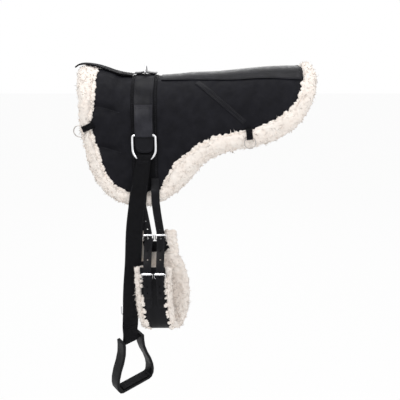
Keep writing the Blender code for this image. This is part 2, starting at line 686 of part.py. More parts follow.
def tab_and_ring(end, share, turn, side):
    """A tab sewn to the cover, folded round a small ring that lies on the fleece."""
    name = side_name(side) + "_" + end
    origin, across, out, along = tab_frame(share, turn, side)
    radius = SMALL_RING_WIRE + GAP + TAB_THICK / 2
    points = []
    for way, height in TAB_RISE_SHARES:
        place = tab_place(share, turn, way * TAB_LENGTH)
        sewn = pillow(*place) if way < TAB_RISE_SHARES[2][0] else 0
        points.append(skin(*place, height * (FLEECE_CROWN + TAB_THICK / 2 + GAP) + sewn, side))
    points += [origin + along * a + out * b for a, b in arc((0, 0), radius, -math.pi / 2, math.pi / 2, 6)]
    points.append(origin - along * radius * 2 + out * radius)
    ribbon(name + "_tab", points, across, TAB_WIDTH, TAB_THICK, "webbing")
    deep = math.sqrt(SMALL_RING_RADIUS**2 - SMALL_RING_BAR**2)
    start = -math.atan2(deep, SMALL_RING_BAR)
    hoop = arc((0, deep), SMALL_RING_RADIUS, start, math.pi - start, SMALL_RING_STEPS)
    ring = wire(name + "_ring", [Vector((x, y, 0)) for x, y in hoop], SMALL_RING_WIRE, "chrome", closed=True)
    ring.matrix_world = Matrix.Translation(origin) @ Matrix((across, along, out)).transposed().to_4x4()


def brace(side):
    """The stitched strap that runs aslant from the spine to the rear ring's tab."""
    start, end = Vector(BRACE_START_SHARE), Vector(BRACE_END_SHARE)
    places = [start.lerp(end, t) for t in run(0, 1, 14)]
    lift = 2 * GAP + BRACE_THICK / 2
    points = [skin(p.x * PAD_LENGTH, p.y * PAD_FALL, lift, side) for p in places]
    step = (end - start)
    across = Vector((step.y * PAD_FALL, -step.x * PAD_LENGTH)).normalized()
    ways = []
    for p in places:
        x, fall = p.x * PAD_LENGTH, p.y * PAD_FALL
        shift = across * BRACE_WIDTH / 2
        ways.append((skin(x + shift.x, fall + shift.y, lift, side) - skin(x, fall, lift, side)).normalized())
    ribbon(side_name(side) + "_brace", points, ways, BRACE_WIDTH, BRACE_THICK, "leather")


# Billets and girth

def billet_place(side, end, depth):
    """A billet's middle along the pad, at a depth."""
    tables = {(NEAR, "front"): FRONT_BILLET_SHARES, (NEAR, "rear"): REAR_BILLET_SHARES,
              (FAR, "front"): FAR_FRONT_BILLET_SHARES, (FAR, "rear"): FAR_REAR_BILLET_SHARES}
    full = BILLET_DEPTH if side == NEAR else FREE_BILLET_DEPTH
    return SURCINGLE_X + between(tables[side, end], depth / full) * BASE_WIDTH / 2


def billet_points(side, end):
    """Middle line of a billet: sewn over the base strip, over the fleece roll, then hanging."""
    sewn = BASE_LIFT + BASE_THICK + GAP + BILLET_THICK / 2
    places = [skin(SURCINGLE_X, fall * PAD_FALL, along((sewn, EDGE_LIFT), rise), side)
              for fall, rise in BILLET_SEWN_SHARES]
    points = [(abs(p.y), -p.z) for p in places]
    if side == NEAR:
        levels = (BILLET_START_DEPTH, UPPER_ROLLER_DEPTH, LOWER_ROLLER_DEPTH, BILLET_DEPTH)
        points += [(along((UPPER_BILLET_OUT, LOWER_BILLET_OUT), out), along(levels, way))
                   for way, out in BILLET_WAY_SHARES]
    else:
        points += [(FREE_BILLET_OUT, along((BILLET_START_DEPTH, FREE_BILLET_DEPTH), way))
                   for way in FREE_BILLET_SHARES]
    return [Vector((billet_place(side, end, depth), side * out, -depth)) for out, depth in points]


def billet(side, end):
    """One billet strap, with its buckle holes cut through."""
    points = billet_points(side, end)
    widths = [BILLET_WIDTH] * (len(points) - 2) + [BILLET_WIDTH * share for share in BILLET_TIP_SHARES]
    name = side_name(side) + "_" + end + "_billet"
    obj = ribbon(name, points, Vector((1, 0, 0)), widths, BILLET_THICK, "leather")
    if side == NEAR:
        levels = (BILLET_START_DEPTH, UPPER_ROLLER_DEPTH, LOWER_ROLLER_DEPTH, BILLET_DEPTH)
        places = [(along(levels, way), 1) for way in BILLET_HOLE_SHARES]
        rollers = (UPPER_ROLLER_DEPTH, LOWER_ROLLER_DEPTH)
        places += [(depth + TONGUE_HOLE_DROP, TONGUE_HOLE_STRETCH_SHARE) for depth in rollers]
    else:
        levels = (BILLET_START_DEPTH, FREE_BILLET_DEPTH)
        places = [(along(levels, way), 1) for way in FREE_BILLET_HOLE_SHARES]
    holes = bmesh.new()
    for depth, stretch in places:
        out = between([(-p.z, abs(p.y)) for p in points], depth)
        place = Matrix.Translation((billet_place(side, end, depth), side * out, -depth))
        shape = Matrix.Rotation(math.pi / 2, 4, "X") @ Matrix.Diagonal((1, stretch, 1, 1))
        bmesh.ops.create_cone(
            holes, cap_ends=True, segments=8, radius1=BILLET_HOLE_RADIUS, radius2=BILLET_HOLE_RADIUS,
            depth=4 * BILLET_THICK, matrix=place @ shape)
    cut_with(obj, holes)


def cut_with(obj, bm):
    """Cut a shape out of a sub-part."""
    mesh = bpy.data.meshes.new(obj.name + "_cutter")
    bm.to_mesh(mesh)
    bm.free()
    cutter = bpy.data.objects.new(obj.name + "_cutter", mesh)
    cutter.display_type = "WIRE"
    cutter.hide_render = True
    cutters.objects.link(cutter)
    cut = obj.modifiers.new("cut", "BOOLEAN")
    cut.operation = "DIFFERENCE"
    cut.solver = "EXACT"
    cut.object = cutter


def chape_radius():
    """Radius of a girth chape's middle line round its buckle's bar."""
    return BUCKLE_WIRE + GAP + GIRTH_CHAPE_THICK / 2


def bar_out(billet_out):
    """Outward place of a buckle's bar, behind its billet and one ply of chape."""
    return billet_out - BILLET_THICK / 2 - GAP - GIRTH_CHAPE_THICK - GAP - BUCKLE_WIRE


def tail_out(billet_out):
    """Outward place of a chape's tail, under its buckle."""
    return bar_out(billet_out) - chape_radius()


def girth_line():
    """Middle line of the girth's leather, from its upper end round the loop to its lower end."""
    behind = GIRTH_CHAPE_THICK / 2 + GAP + GIRTH_BODY_THICK / 2
    upper = tail_out(UPPER_BILLET_OUT) - behind
    outs = (upper, GIRTH_INNER_OUT, tail_out(LOWER_BILLET_OUT) - behind)
    depths = (UPPER_ROLLER_DEPTH, GIRTH_BOTTOM_DEPTH, LOWER_ROLLER_DEPTH)
    return [Vector((sway * GIRTH_SWAY, -along(outs, out), -along(depths, depth)))
            for sway, out, depth in GIRTH_SHARES]


def girth():
    """The girth: a leather band with fleece on its inner face, looped back on itself."""
    points = girth_line()
    across = Vector((1, 0, 0))
    widths = [GIRTH_BODY_WIDTH] * len(points)
    ribbon("girth_band", points, across, widths, GIRTH_BODY_THICK, "leather")
    rings = []
    first = GIRTH_FLEECE_SKIP_COUNT
    for i in range(first, len(points)):
        before, after = points[max(i - 1, 0)], points[min(i + 1, len(points) - 1)]
        along = Vector((0, after.y - before.y, after.z - before.z)).normalized()
        inward = along.cross(across)
        width, depth = FLEECE_END_SHARES if i in (first, len(points) - 1) else (1, 1)
        base = points[i] + inward * (GIRTH_BODY_THICK / 2 + GAP)
        ring = [base + across * x * width * GIRTH_FLEECE_WIDTH / 2 + inward * y * depth * GIRTH_FLEECE_THICK
                for x, y in FLEECE_SECTION_SHARES]
        rings.append(ring)
    loft("girth_fleece", rings, "fleece")


def buckle_outline(half, height, corner):
    """A buckle frame's middle line: a rounded rectangle standing on its bar."""
    flat = [(u, 0.0) for u in run(-half + corner, half - corner, 1)]
    flat += arc((half - corner, corner), corner, -math.pi / 2, 0, 3)[1:]
    flat += arc((half - corner, height - corner), corner, 0, math.pi / 2, 3)
    flat += arc((-half + corner, height - corner), corner, math.pi / 2, math.pi, 3)
    return flat + arc((-half + corner, corner), corner, math.pi, math.pi * 1.5, 3)[:-1]


def roller_radius():
    """Outer radius of a roller: its wall, turning on the frame's wire."""
    return BUCKLE_WIRE + 2 * GAP + ROLLER_WALL


def girth_buckle(name, x, billet_out, depth):
    """A roller buckle's frame and roller; returns its bar and the middle of its roller."""
    bar = Vector((x, -bar_out(billet_out), -depth - BUCKLE_HEIGHT))
    top = Vector((x, -(billet_out + BILLET_THICK / 2 + 1.5 * GAP + roller_radius()), -depth))
    half = BUCKLE_WIDTH / 2
    corner = BUCKLE_WIRE * 1.3
    right, up = Vector((1, 0, 0)), (top - bar).normalized()
    flat = buckle_outline(half, (top - bar).length, corner)
    wire(name + "_buckle", [bar + right * u + up * v for u, v in flat], BUCKLE_WIRE, "chrome", closed=True)
    bm = bmesh.new()
    bmesh.ops.create_cone(bm, cap_ends=False, segments=14, radius1=roller_radius(), radius2=roller_radius(),
                          depth=2 * (half - corner - ROLLER_END_GAP),
                          matrix=Matrix.Rotation(math.pi / 2, 4, "Y"))
    bmesh.ops.reverse_faces(bm, faces=bm.faces[:])
    tube = mesh_object(name + "_roller", bm, "chrome")
    wall = tube.modifiers.new("wall", "SOLIDIFY")
    wall.thickness = ROLLER_WALL
    wall.offset = -1
    tube.location = top
    return bar, top


def girth_chape(name, bar, tail):
    """The strap end that holds a buckle: folded round its bar, slotted for the tongue, sewn to the girth."""
    radius = chape_radius()
    fold = [bar + Vector((0, -a, b)) for a, b in arc((0, 0), radius, 0, math.pi, 8)]
    outer_end = bar + Vector((0, -radius * 0.55, -radius * 3))
    inner = [bar + Vector((0, radius, -length)) for length in tail]
    widths = [GIRTH_CHAPE_WIDTH] * (len(fold) + len(inner) - 1)
    widths += [GIRTH_CHAPE_WIDTH * share for share in CHAPE_TIP_SHARES]
    path = [outer_end, *fold, *inner]
    chape = ribbon(name + "_chape", path, Vector((1, 0, 0)), widths, GIRTH_CHAPE_THICK, "leather")
    slot = bmesh.new()
    size = Matrix.Diagonal((TONGUE_SLOT, radius * 4, radius * 4, 1))
    bmesh.ops.create_cube(slot, size=1, matrix=Matrix.Translation(bar + Vector((0, 0, radius))) @ size)
    cut_with(chape, slot)


def girth_fittings():
    """Two pairs of roller buckles: the girth's upper end and, folded back, its lower end."""
    upper = [share * UPPER_CHAPE_LENGTH for share in UPPER_CHAPE_SHARES]
    lower = [share * LOWER_CHAPE_LENGTH for share in LOWER_CHAPE_SHARES]
    for level, depth, billet_out, tail in (("upper", UPPER_ROLLER_DEPTH, UPPER_BILLET_OUT, upper),
                                           ("lower", LOWER_ROLLER_DEPTH, LOWER_BILLET_OUT, lower)):
        for end in ("front", "rear"):
            name = level + "_" + end
            bar, top = girth_buckle(name, billet_place(NEAR, end, depth), billet_out, depth)
            girth_chape(name, bar, tail)
            tongue(name, bar, top)


def tongue(name, bar, top):
    """A buckle's tongue: hooked on the bar behind the billet, through its hole, resting on the roller."""
    reach = BUCKLE_WIRE + GAP + TONGUE_WIRE
    over = roller_radius() + GAP + TONGUE_WIRE
    hook = [Vector((0, a, b)) for a, b in arc((0, 0), reach, -math.pi * 0.1, math.pi * 0.5, 4)]
    points = [bar + p for p in hook]
    points.append(Vector((bar.x, top.y - over, top.z - over * 0.35)))
    points.append(Vector((bar.x, top.y - over, top.z + over * 0.35)))
    wire(name + "_tongue", points, TONGUE_WIRE, "chrome", resolution=1)


# Stirrup straps and stirrups

def hoop_bottom(side):
    """Middle of a main ring's wire at its lowest place."""
    return ring_frame(side) @ Vector((0, 0, -RING_HEIGHT))


def bar_depth(side):
    """Depth of a stirrup's bar."""
    return NEAR_BAR_DEPTH if side == NEAR else FAR_BAR_DEPTH


def strap_depth(side, share):
    """Depth at a share of a stirrup strap's free length."""
    return along((HANG_START_DEPTH, bar_depth(side)), share)


def strap_place(side, depth):
    """A stirrup strap's middle along the pad, at a depth."""
    table, sway = (NEAR_STRAP_SHARES, NEAR_SWAY) if side == NEAR else (FAR_STRAP_SHARES, FAR_SWAY)
    return SURCINGLE_X - sway * between(table, depth / bar_depth(side))


def strap_line(side):
    """Middle line of a stirrup strap, outward and up: a closed loop from ring to stirrup bar."""
    hoop = hoop_bottom(NEAR)
    out, z = abs(hoop.y), hoop.z
    radius = RING_WIRE + LOOP_CLEARANCE + LEATHER_THICK / 2
    apart = LEATHER_GAP + LEATHER_THICK
    outer = HANG_INNER + apart
    fork = bar_depth(side) - STRAP_FORK
    stations = [-along((HANG_START_DEPTH, fork), share) for share in STRAP_STATION_SHARES]
    top = arc((out, z + LOOP_RISE), radius, math.pi, 0, 8)
    bar_radius = STIRRUP_BAR_RADIUS + GAP + LEATHER_THICK / 2
    foot = arc((HANG_INNER + apart / 2, -bar_depth(side)), bar_radius, 0, -math.pi, 10)
    down = [(out + radius, z - RING_WIRE), (SHOULDER_OUT + apart, -SHOULDER_DEPTH)]
    down += [(outer, s) for s in [-HANG_START_DEPTH, *stations]]
    up = [(HANG_INNER, s) for s in reversed(stations)]
    up += [(HANG_INNER, -HANG_START_DEPTH), (SHOULDER_OUT, -SHOULDER_DEPTH), (out - radius, z - RING_WIRE)]
    return top + down + foot + up


def stirrup_strap(side):
    """A webbing strap looped through the main ring, over the fleece and round the stirrup's bar."""
    line = strap_line(side)
    centre_out = HANG_INNER + (LEATHER_GAP + LEATHER_THICK) / 2
    half = LEATHER_THICK / 2
    rings = []
    count = len(line)
    for i, (out, z) in enumerate(line):
        before, after = Vector(line[i - 1]), Vector(line[(i + 1) % count])
        here = Vector((out, z))
        a, b = (here - before).normalized(), (after - here).normalized()
        normal = Vector((-(a + b).y, (a + b).x)).normalized()
        normal *= half / max(normal.dot(Vector((-a.y, a.x))), 0.5)
        width = LEATHER_WIDTH * between(NECK_SHARES, -z / HANG_START_DEPTH)
        free = (-z - HANG_START_DEPTH) / (bar_depth(side) - HANG_START_DEPTH)
        turn = LEATHER_TURN * between(TWIST_SHARES, free)
        x = strap_place(side, -z)
        ring = []
        for u, n in ((-1, 1), (1, 1), (1, -1), (-1, -1)):
            o = out + n * normal.x - centre_out
            w = u * width / 2
            px = x + w * math.cos(turn) + o * math.sin(turn)
            po = centre_out - w * math.sin(turn) + o * math.cos(turn)
            ring.append(Vector((px, side * po, z + n * normal.y)))
        rings.append(ring)
    loft(side_name(side) + "_stirrup_strap", rings, "webbing", closed=True)


def strap_buckle(side):
    """The strap's length buckle, against its inner ply."""
    out = HANG_INNER - LEATHER_THICK / 2 - GAP - STRAP_BUCKLE_WIRE
    depth = strap_depth(side, STRAP_BUCKLE_SHARE)
    centre = Vector((strap_place(side, depth), side * out, -depth - STRAP_BUCKLE_HEIGHT / 2))
    flat = buckle_outline(STRAP_BUCKLE_WIDTH / 2, STRAP_BUCKLE_HEIGHT, 2 * STRAP_BUCKLE_WIRE)
    points = [centre + Vector((a, 0, b)) for a, b in flat]
    wire(side_name(side) + "_strap_buckle", points, STRAP_BUCKLE_WIRE, "chrome", closed=True)


def stirrup_outline():
    """Half outline of the stirrup's frame, from its top down the outer face and back up the inner one."""
    halves = {"top": STIRRUP_TOP_HALF, "low": STIRRUP_LOW_HALF}
    outer = [(halves[end] * x, -STIRRUP_HEIGHT * z) for end, x, z, _, _ in STIRRUP_SHARES]
    inner = [(halves[end] * x - STIRRUP_WALL * a, -STIRRUP_HEIGHT * z + STIRRUP_WALL * b)
             for end, x, z, a, b in reversed(STIRRUP_SHARES)]
    return outer, inner


def stirrup_place(side):
    """The stirrup's bar on the strap's foot, turned as it hangs."""
    depth = bar_depth(side)
    out = HANG_INNER + (LEATHER_GAP + LEATHER_THICK) / 2
    turn = Matrix.Rotation(-side * LEATHER_TURN, 4, "Z")
    return Matrix.Translation((strap_place(side, depth), side * out, -depth)) @ turn


def stirrup(side):
    """A moulded stirrup: broad bands bent into a bell, a flat tread and a round bar across the top."""
    outer, inner = stirrup_outline()
    name = side_name(side) + "_stirrup"
    outline = outer + [(-x, z) for x, z in reversed(outer)] + [(-x, z) for x, z in reversed(inner)] + inner
    curve = bpy.data.curves.new(name + "_outline", "CURVE")
    curve.dimensions = "2D"
    curve.fill_mode = "BOTH"
    curve.extrude = STIRRUP_WIDTH / 2
    spline = curve.splines.new("POLY")
    spline.points.add(len(outline) - 1)
    for target, (x, z) in zip(spline.points, outline):
        target.co = (x, z, 0, 1)
    spline.use_cyclic_u = True
    flat = bpy.data.objects.new(name + "_outline", curve)
    parts.objects.link(flat)
    mesh = bpy.data.meshes.new_from_object(flat.evaluated_get(bpy.context.evaluated_depsgraph_get()))
    bpy.data.objects.remove(flat, do_unlink=True)
    bm = bmesh.new()
    bm.from_mesh(mesh)
    bmesh.ops.remove_doubles(bm, verts=bm.verts[:], dist=WELD)
    bmesh.ops.rotate(bm, verts=bm.verts[:], matrix=Matrix.Rotation(math.pi / 2, 3, "X"))
    obj = mesh_object(name, bm, "plastic", smooth=False)
    rod = bmesh.new()
    bmesh.ops.create_cone(rod, cap_ends=True, segments=20, radius1=STIRRUP_BAR_RADIUS,
                          radius2=STIRRUP_BAR_RADIUS, depth=2 * STIRRUP_TOP_HALF - STIRRUP_WALL,
                          matrix=Matrix.Rotation(math.pi / 2, 4, "Y"))
    rod_mesh = bpy.data.meshes.new(name + "_bar")
    rod.to_mesh(rod_mesh)
    rod.free()
    bar = bpy.data.objects.new(name + "_bar", rod_mesh)
    bar.display_type = "WIRE"
    bar.hide_render = True
    cutters.objects.link(bar)
    join = obj.modifiers.new("bar", "BOOLEAN")
    join.operation = "UNION"
    join.solver = "EXACT"
    join.object = bar
    edges = obj.modifiers.new("edges", "BEVEL")
    edges.width = STIRRUP_EDGE
    edges.segments = 2
    edges.limit_method = "ANGLE"
    edges.angle_limit = math.radians(50)
    obj.matrix_world = stirrup_place(side)
    bar.matrix_world = stirrup_place(side)


def tread_pad(side):
    """The rubber pad on the tread."""
    bm = bmesh.new()
    bmesh.ops.create_cube(bm, size=1, matrix=Matrix.Diagonal(
        (TREAD_PAD_LENGTH, STIRRUP_WIDTH - 2 * TREAD_PAD_INSET, TREAD_PAD_THICK, 1)))
    obj = mesh_object(side_name(side) + "_tread_pad", bm, "rubber", smooth=False)
    up = -STIRRUP_HEIGHT + STIRRUP_WALL + GAP + TREAD_PAD_THICK / 2
    obj.matrix_world = stirrup_place(side) @ Matrix.Translation((0, 0, up))


build_padding()
spine_panel()
wither_strap()
pad_strap("surcingle_base", BASE_WIDTH, BASE_FALL, BASE_LIFT, BASE_THICK, "webbing")
pad_strap("surcingle_strap", STRAP_WIDTH, STRAP_FALL, STRAP_LIFT, STRAP_THICK, "leather",
          round_end=STRAP_ROUND)
top_ring()
for flank in (NEAR, FAR):
    ring_chape(flank)
    main_ring(flank)
    brace(flank)
    tab_and_ring("rear", REAR_TAB_SHARE, REAR_TAB_TURN, flank)
    tab_and_ring("front", FRONT_TAB_SHARE, FRONT_TAB_TURN, flank)
    billet(flank, "front")
    billet(flank, "rear")
    stirrup_strap(flank)
    strap_buckle(flank)
    stirrup(flank)
    tread_pad(flank)
girth()
girth_fittings()
bpy.context.view_layer.update()
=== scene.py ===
"""Looks of the bareback pad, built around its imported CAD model, in metres."""
import json
import math

import bmesh
import bpy
import numpy as np
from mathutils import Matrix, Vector, noise
from mathutils.bvhtree import BVHTree


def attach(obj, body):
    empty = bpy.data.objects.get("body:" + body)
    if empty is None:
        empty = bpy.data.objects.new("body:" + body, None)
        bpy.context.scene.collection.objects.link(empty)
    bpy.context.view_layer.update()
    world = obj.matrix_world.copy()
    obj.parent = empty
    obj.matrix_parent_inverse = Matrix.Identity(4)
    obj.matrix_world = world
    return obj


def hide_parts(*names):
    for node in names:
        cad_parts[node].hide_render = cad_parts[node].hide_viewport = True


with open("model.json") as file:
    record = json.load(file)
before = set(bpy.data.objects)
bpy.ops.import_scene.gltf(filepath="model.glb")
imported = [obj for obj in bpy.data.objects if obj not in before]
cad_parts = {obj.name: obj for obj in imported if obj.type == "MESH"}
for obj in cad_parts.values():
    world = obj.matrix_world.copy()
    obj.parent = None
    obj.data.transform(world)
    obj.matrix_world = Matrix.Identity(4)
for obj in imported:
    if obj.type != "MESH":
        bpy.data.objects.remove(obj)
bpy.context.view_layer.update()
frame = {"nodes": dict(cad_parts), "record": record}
nodes = frame["nodes"]
body_of = {n: b for b, names in frame["record"]["behaviour"]["bodies"].items() for n in names}
NEAR, FAR = -1, 1

# Camera: at the height of the pad, looking across its near side and a little down
camera = bpy.data.objects.new("camera", bpy.data.cameras.new("camera"))
bpy.context.scene.collection.objects.link(camera)
camera.location = (0.144, -1.320, 0.200)
camera.rotation_euler = (math.radians(68), 0, 0)
camera.data.sensor_width = 36
camera.data.lens = 42.75
bpy.context.scene.camera = camera

# The pad's form, as in the CAD source. Tables are in shares of the pad's length and fall.
PAD_LENGTH, PAD_FALL = 0.640, 0.400
ARCH_RADIUS, SPLAY = 0.095, math.radians(8)
COVER_THICK, FOAM_THICK, PAD_THICK = 0.004, 0.010, 0.0301
PILLOW_RISE, CHANNEL_DEPTH, CHANNEL_WIDTH = 0.004, 0.0025, 0.012
SPINE_RISE, SURCINGLE_X = 0.026, -0.002
RIDGE = ((-0.297, 0.73), (-0.190, 0.55), (-0.088, 0), (0.07, 0), (0.219, 0.31), (0.594, 0.96), (0.703, 1))
COVER_FRONT = ((-0.208, 0), (-0.205, 0.200), (-0.209, 0.300), (-0.220, 0.412), (-0.217, 0.522),
               (-0.198, 0.638))
COVER_BOTTOM = (
    (-0.198, 0.638), (-0.172, 0.762), (-0.136, 0.835), (-0.078, 0.872), (0.010, 0.882),
    (0.064, 0.842), (0.094, 0.757), (0.136, 0.670), (0.191, 0.612), (0.255, 0.545),
    (0.328, 0.517), (0.411, 0.503), (0.473, 0.485), (0.536, 0.448), (0.597, 0.380))
COVER_REAR = ((0.650, 0), (0.650, 0.080), (0.641, 0.215), (0.626, 0.310), (0.597, 0.380))
CHANNELS = (0.340, 0.600)
PANEL_REAR = -0.112 * PAD_LENGTH
SPINE_PANEL = ((0.065, 0.10), (0.225, 0.128), (0.42, 0.155), (0.640, 0.185))
BRACE_ENDS = ((0.2125, 0.150), (0.407, 0.442))
TABS = (("rear_tab", (0.422, 0.475), 6), ("front_tab", (-0.205, 0.450), -62))
GIRTH_WIDTH = 0.070

# The looks alone
SEAM_DEPTH = 0.0022
EDGE_TURN, EDGE_DROP = 0.006, 0.0022
COVER_SWELL, COVER_CLEAR = 0.0032, 0.0007
REACH = 0.03
PRESSURE, CLOTH_FRAMES = 4.0, 20
WOOL_CLEAR = 0.0012
STITCH_PITCH, STITCH_SHARE, STITCH_RADIUS = 0.0046, 0.66, 0.00055
THIRDS = (0, 2.094, 4.189)
SIXTHS = (0, 1.047, 2.094, 3.142, 4.189, 5.236)


def between(table, x):
    """Smooth interpolation in a table of pairs."""
    if x <= table[0][0]:
        return table[0][1]
    for (x0, y0), (x1, y1) in zip(table, table[1:]):
        if x <= x1:
            t = (x - x0) / (x1 - x0)
            return y0 + (y1 - y0) * t * t * (3 - 2 * t)
    return table[-1][1]


def ridge(x):
    """Height of the cover's top along the pad."""
    return PAD_THICK + SPINE_RISE * between(RIDGE, x / PAD_LENGTH)


def skin(x, fall, lift, side=NEAR):
    """A point over the pad's outer face: a distance along the arch from the ridge, and a height over it."""
    turn = min(fall / ARCH_RADIUS, math.pi / 2 - SPLAY)
    rest = fall - ARCH_RADIUS * turn
    out = (ARCH_RADIUS + lift) * math.sin(turn) + rest * math.cos(turn)
    up = (ARCH_RADIUS + lift) * math.cos(turn) - rest * math.sin(turn)
    return Vector((x, side * out, ridge(x) - ARCH_RADIUS + up))


def unroll(p):
    """Place along the pad and distance down from its ridge, below the pad too."""
    out, up = abs(p.y), p.z - ridge(p.x) + ARCH_RADIUS
    last = math.pi / 2 - SPLAY
    turn = math.atan2(out, up)
    if turn < last:
        return p.x, turn * ARCH_RADIUS
    beyond = (out - ARCH_RADIUS * math.sin(last)) * math.cos(last)
    below = (up - ARCH_RADIUS * math.cos(last)) * math.sin(last)
    return p.x, ARCH_RADIUS * last + (beyond - below)


def curve_point(table, t):
    """A smooth curve through a table of shares, at t from 0 to 1."""
    place = t * (len(table) - 1)
    i = min(int(place), len(table) - 2)
    f = place - i
    p1, p2 = Vector(table[i]), Vector(table[i + 1])
    p0 = Vector(table[i - 1]) if i > 0 else 2 * p1 - p2
    p3 = Vector(table[i + 2]) if i + 2 < len(table) else 2 * p2 - p1
    square, cube = 2 * p0 - 5 * p1 + 4 * p2 - p3, 3 * p1 - p0 - 3 * p2 + p3
    share = 0.5 * (2 * p1 + (p2 - p0) * f + square * f**2 + cube * f**3)
    return Vector((share.x * PAD_LENGTH, share.y * PAD_FALL))


def patch(u, v):
    """A place on one flap of the cover: u from front to rear, v from the ridge to the lower edge."""
    front, rear = curve_point(COVER_FRONT, v), curve_point(COVER_REAR, v)
    bottom = curve_point(COVER_BOTTOM, u)
    top = curve_point(COVER_FRONT, 0).lerp(curve_point(COVER_REAR, 0), u)
    corners = curve_point(COVER_FRONT, 1).lerp(curve_point(COVER_REAR, 1), u)
    return top.lerp(bottom, v) + front.lerp(rear, u) - top.lerp(corners, v)


def quilting(x, fall, narrow=1):
    """How far a place is inside the quilted panel, and how near to one of its sewn channels."""
    panel = min(max((PANEL_REAR - x) / CHANNEL_WIDTH, 0), 1)
    dip = max(math.exp(-(((fall - s * PAD_FALL) / CHANNEL_WIDTH * narrow) ** 2)) for s in CHANNELS)
    return panel, dip


def pillow(x, fall):
    """Height of the cover's quilting over the plain arch."""
    panel, dip = quilting(x, fall)
    return panel * (PILLOW_RISE * (1 - dip) - CHANNEL_DEPTH * dip)


def sunk(x, fall):
    """How deep a channel's seam draws the cover in, below the CAD's own channel."""
    panel, dip = quilting(x, fall, 2)
    return SEAM_DEPTH * panel * dip


# Materials: every one is built from procedural nodes

class Finish:
    """A Principled material with helpers for its nodes."""

    def __init__(self, name, roughness, metallic=0.0, **constants):
        self.made = bpy.data.materials.new(name)
        self.made.use_nodes = True
        self.tree = self.made.node_tree
        self.shader = self.tree.nodes["Principled BSDF"]
        self.shader.inputs["Metallic"].default_value = metallic
        self.shader.inputs["Roughness"].default_value = roughness
        for key, value in constants.items():
            self.shader.inputs[key.replace("_", " ")].default_value = value
        self.normal = None

    def node(self, kind, inputs=(), **props):
        """A new node, with sockets linked or set by name."""
        made = self.tree.nodes.new("ShaderNode" + kind)
        for key, value in props.items():
            setattr(made, key, value)
        for key, value in dict(inputs).items():
            if isinstance(value, bpy.types.NodeSocket):
                self.tree.links.new(value, made.inputs[key])
            else:
                made.inputs[key].default_value = value
        return made

    def place(self, flat=False, stretch=(1, 1, 1)):
        """Coordinates in metres: the mesh's own, or its unrolled ones."""
        source = self.node("TexCoord").outputs["UV" if flat else "Object"]
        return self.node("Mapping", {"Vector": source, "Scale": stretch}).outputs[0]

    def noise(self, scale, detail=3.0, at=None, rough=0.5):
        inputs = {"Vector": at or self.place(), "Scale": scale, "Detail": detail, "Roughness": rough}
        return self.node("TexNoise", inputs).outputs[0]

    def cells(self, scale, feature="F1"):
        inputs = {"Vector": self.place(), "Scale": scale}
        return self.node("TexVoronoi", inputs, feature=feature).outputs["Distance"]

    def ribs(self, pitch, at, direction, distortion=0.0):
        """Even ridges of that pitch, across one direction."""
        inputs = {"Vector": at, "Scale": math.pi / 10 / pitch, "Distortion": distortion, "Detail": 0.0}
        return self.node("TexWave", inputs, wave_type="BANDS", bands_direction=direction).outputs["Fac"]

    def math(self, operation, a, b=0.0):
        return self.node("Math", {0: a, 1: b}, operation=operation).outputs[0]

    def spread(self, value, low, high, to_low, to_high):
        """One range carried over to another, and held to it."""
        inputs = {"Value": value, "From Min": low, "From Max": high, "To Min": to_low, "To Max": to_high}
        return self.node("MapRange", inputs).outputs[0]

    def mix(self, share, a, b):
        """A colour between two, each a socket or a plain triple."""
        made = self.tree.nodes.new("ShaderNodeMix")
        made.data_type = "RGBA"
        self.tree.links.new(share, made.inputs["Factor"])
        for index, value in ((6, a), (7, b)):
            if isinstance(value, bpy.types.NodeSocket):
                self.tree.links.new(value, made.inputs[index])
            else:
                made.inputs[index].default_value = (*value, 1)
        return made.outputs[2]

    def bump(self, height, distance):
        """A bump on top of those before it."""
        inputs = {"Height": height, "Distance": distance, "Strength": 1.0}
        if self.normal:
            inputs["Normal"] = self.normal
        self.normal = self.node("Bump", inputs).outputs[0]

    def done(self, colour, roughness):
        """Link what was made to the shader."""
        for socket, name in ((colour, "Base Color"), (roughness, "Roughness"), (self.normal, "Normal")):
            self.tree.links.new(socket, self.shader.inputs[name])
        return self.made


def leather(name, dark, light, rough, grain, depth, coat=0.0):
    """Dyed leather: a pebbled grain, cloudy dye, and pale worn edges."""
    f = Finish(name, rough, Coat_Weight=coat, Coat_Roughness=0.3, Specular_IOR_Level=0.13)
    cloud = f.spread(f.noise(38, 4), 0.35, 0.68, 0, 1)
    worn = f.spread(f.node("NewGeometry").outputs["Pointiness"], 0.54, 0.62, 0, 0.35)
    speck = f.spread(f.noise(900, 2), 0.62, 0.75, 0, 0.25)
    base = f.mix(cloud, dark, light)
    base = f.mix(speck, base, tuple(min(1, 2.2 * c) for c in light))
    colour = f.mix(worn, base, tuple(min(1, 3.2 * c + 0.01) for c in light))
    f.bump(f.cells(grain), depth)
    f.bump(f.noise(grain * 0.35, 3), depth * 1.4)
    return f.done(colour, f.spread(f.noise(60, 3), 0.3, 0.7, rough - 0.07, rough + 0.09))


def webbing(name, dark, light, pitch, rough=0.62):
    """Woven webbing: ribs across the strap, broken by its warp threads, with painted shade in the grooves
    between them.
    """
    f = Finish(name, rough, Sheen_Weight=0.02, Sheen_Roughness=0.5, Specular_IOR_Level=0.10)
    at = f.place(flat=True)
    weft, warp = f.ribs(pitch, at, "Y"), f.ribs(pitch * 0.62, at, "X", 0.4)
    weave = f.math("MULTIPLY", weft, f.spread(warp, 0, 1, 0.45, 1))
    # Painted shade: the colour follows the weave's height, lighter on the threads' tops and darker in the
    # grooves between them.
    colour = f.mix(f.spread(weave, 0, 1, 0, 0.8), dark, light)
    colour = f.mix(f.spread(f.noise(45, 4), 0.4, 0.75, 0, 0.5), colour, light)
    f.bump(weave, pitch * 0.35)
    f.bump(f.noise(1600, 2), 0.00012)
    return f.done(colour, f.spread(f.noise(80, 2), 0.3, 0.7, rough - 0.06, rough + 0.08))


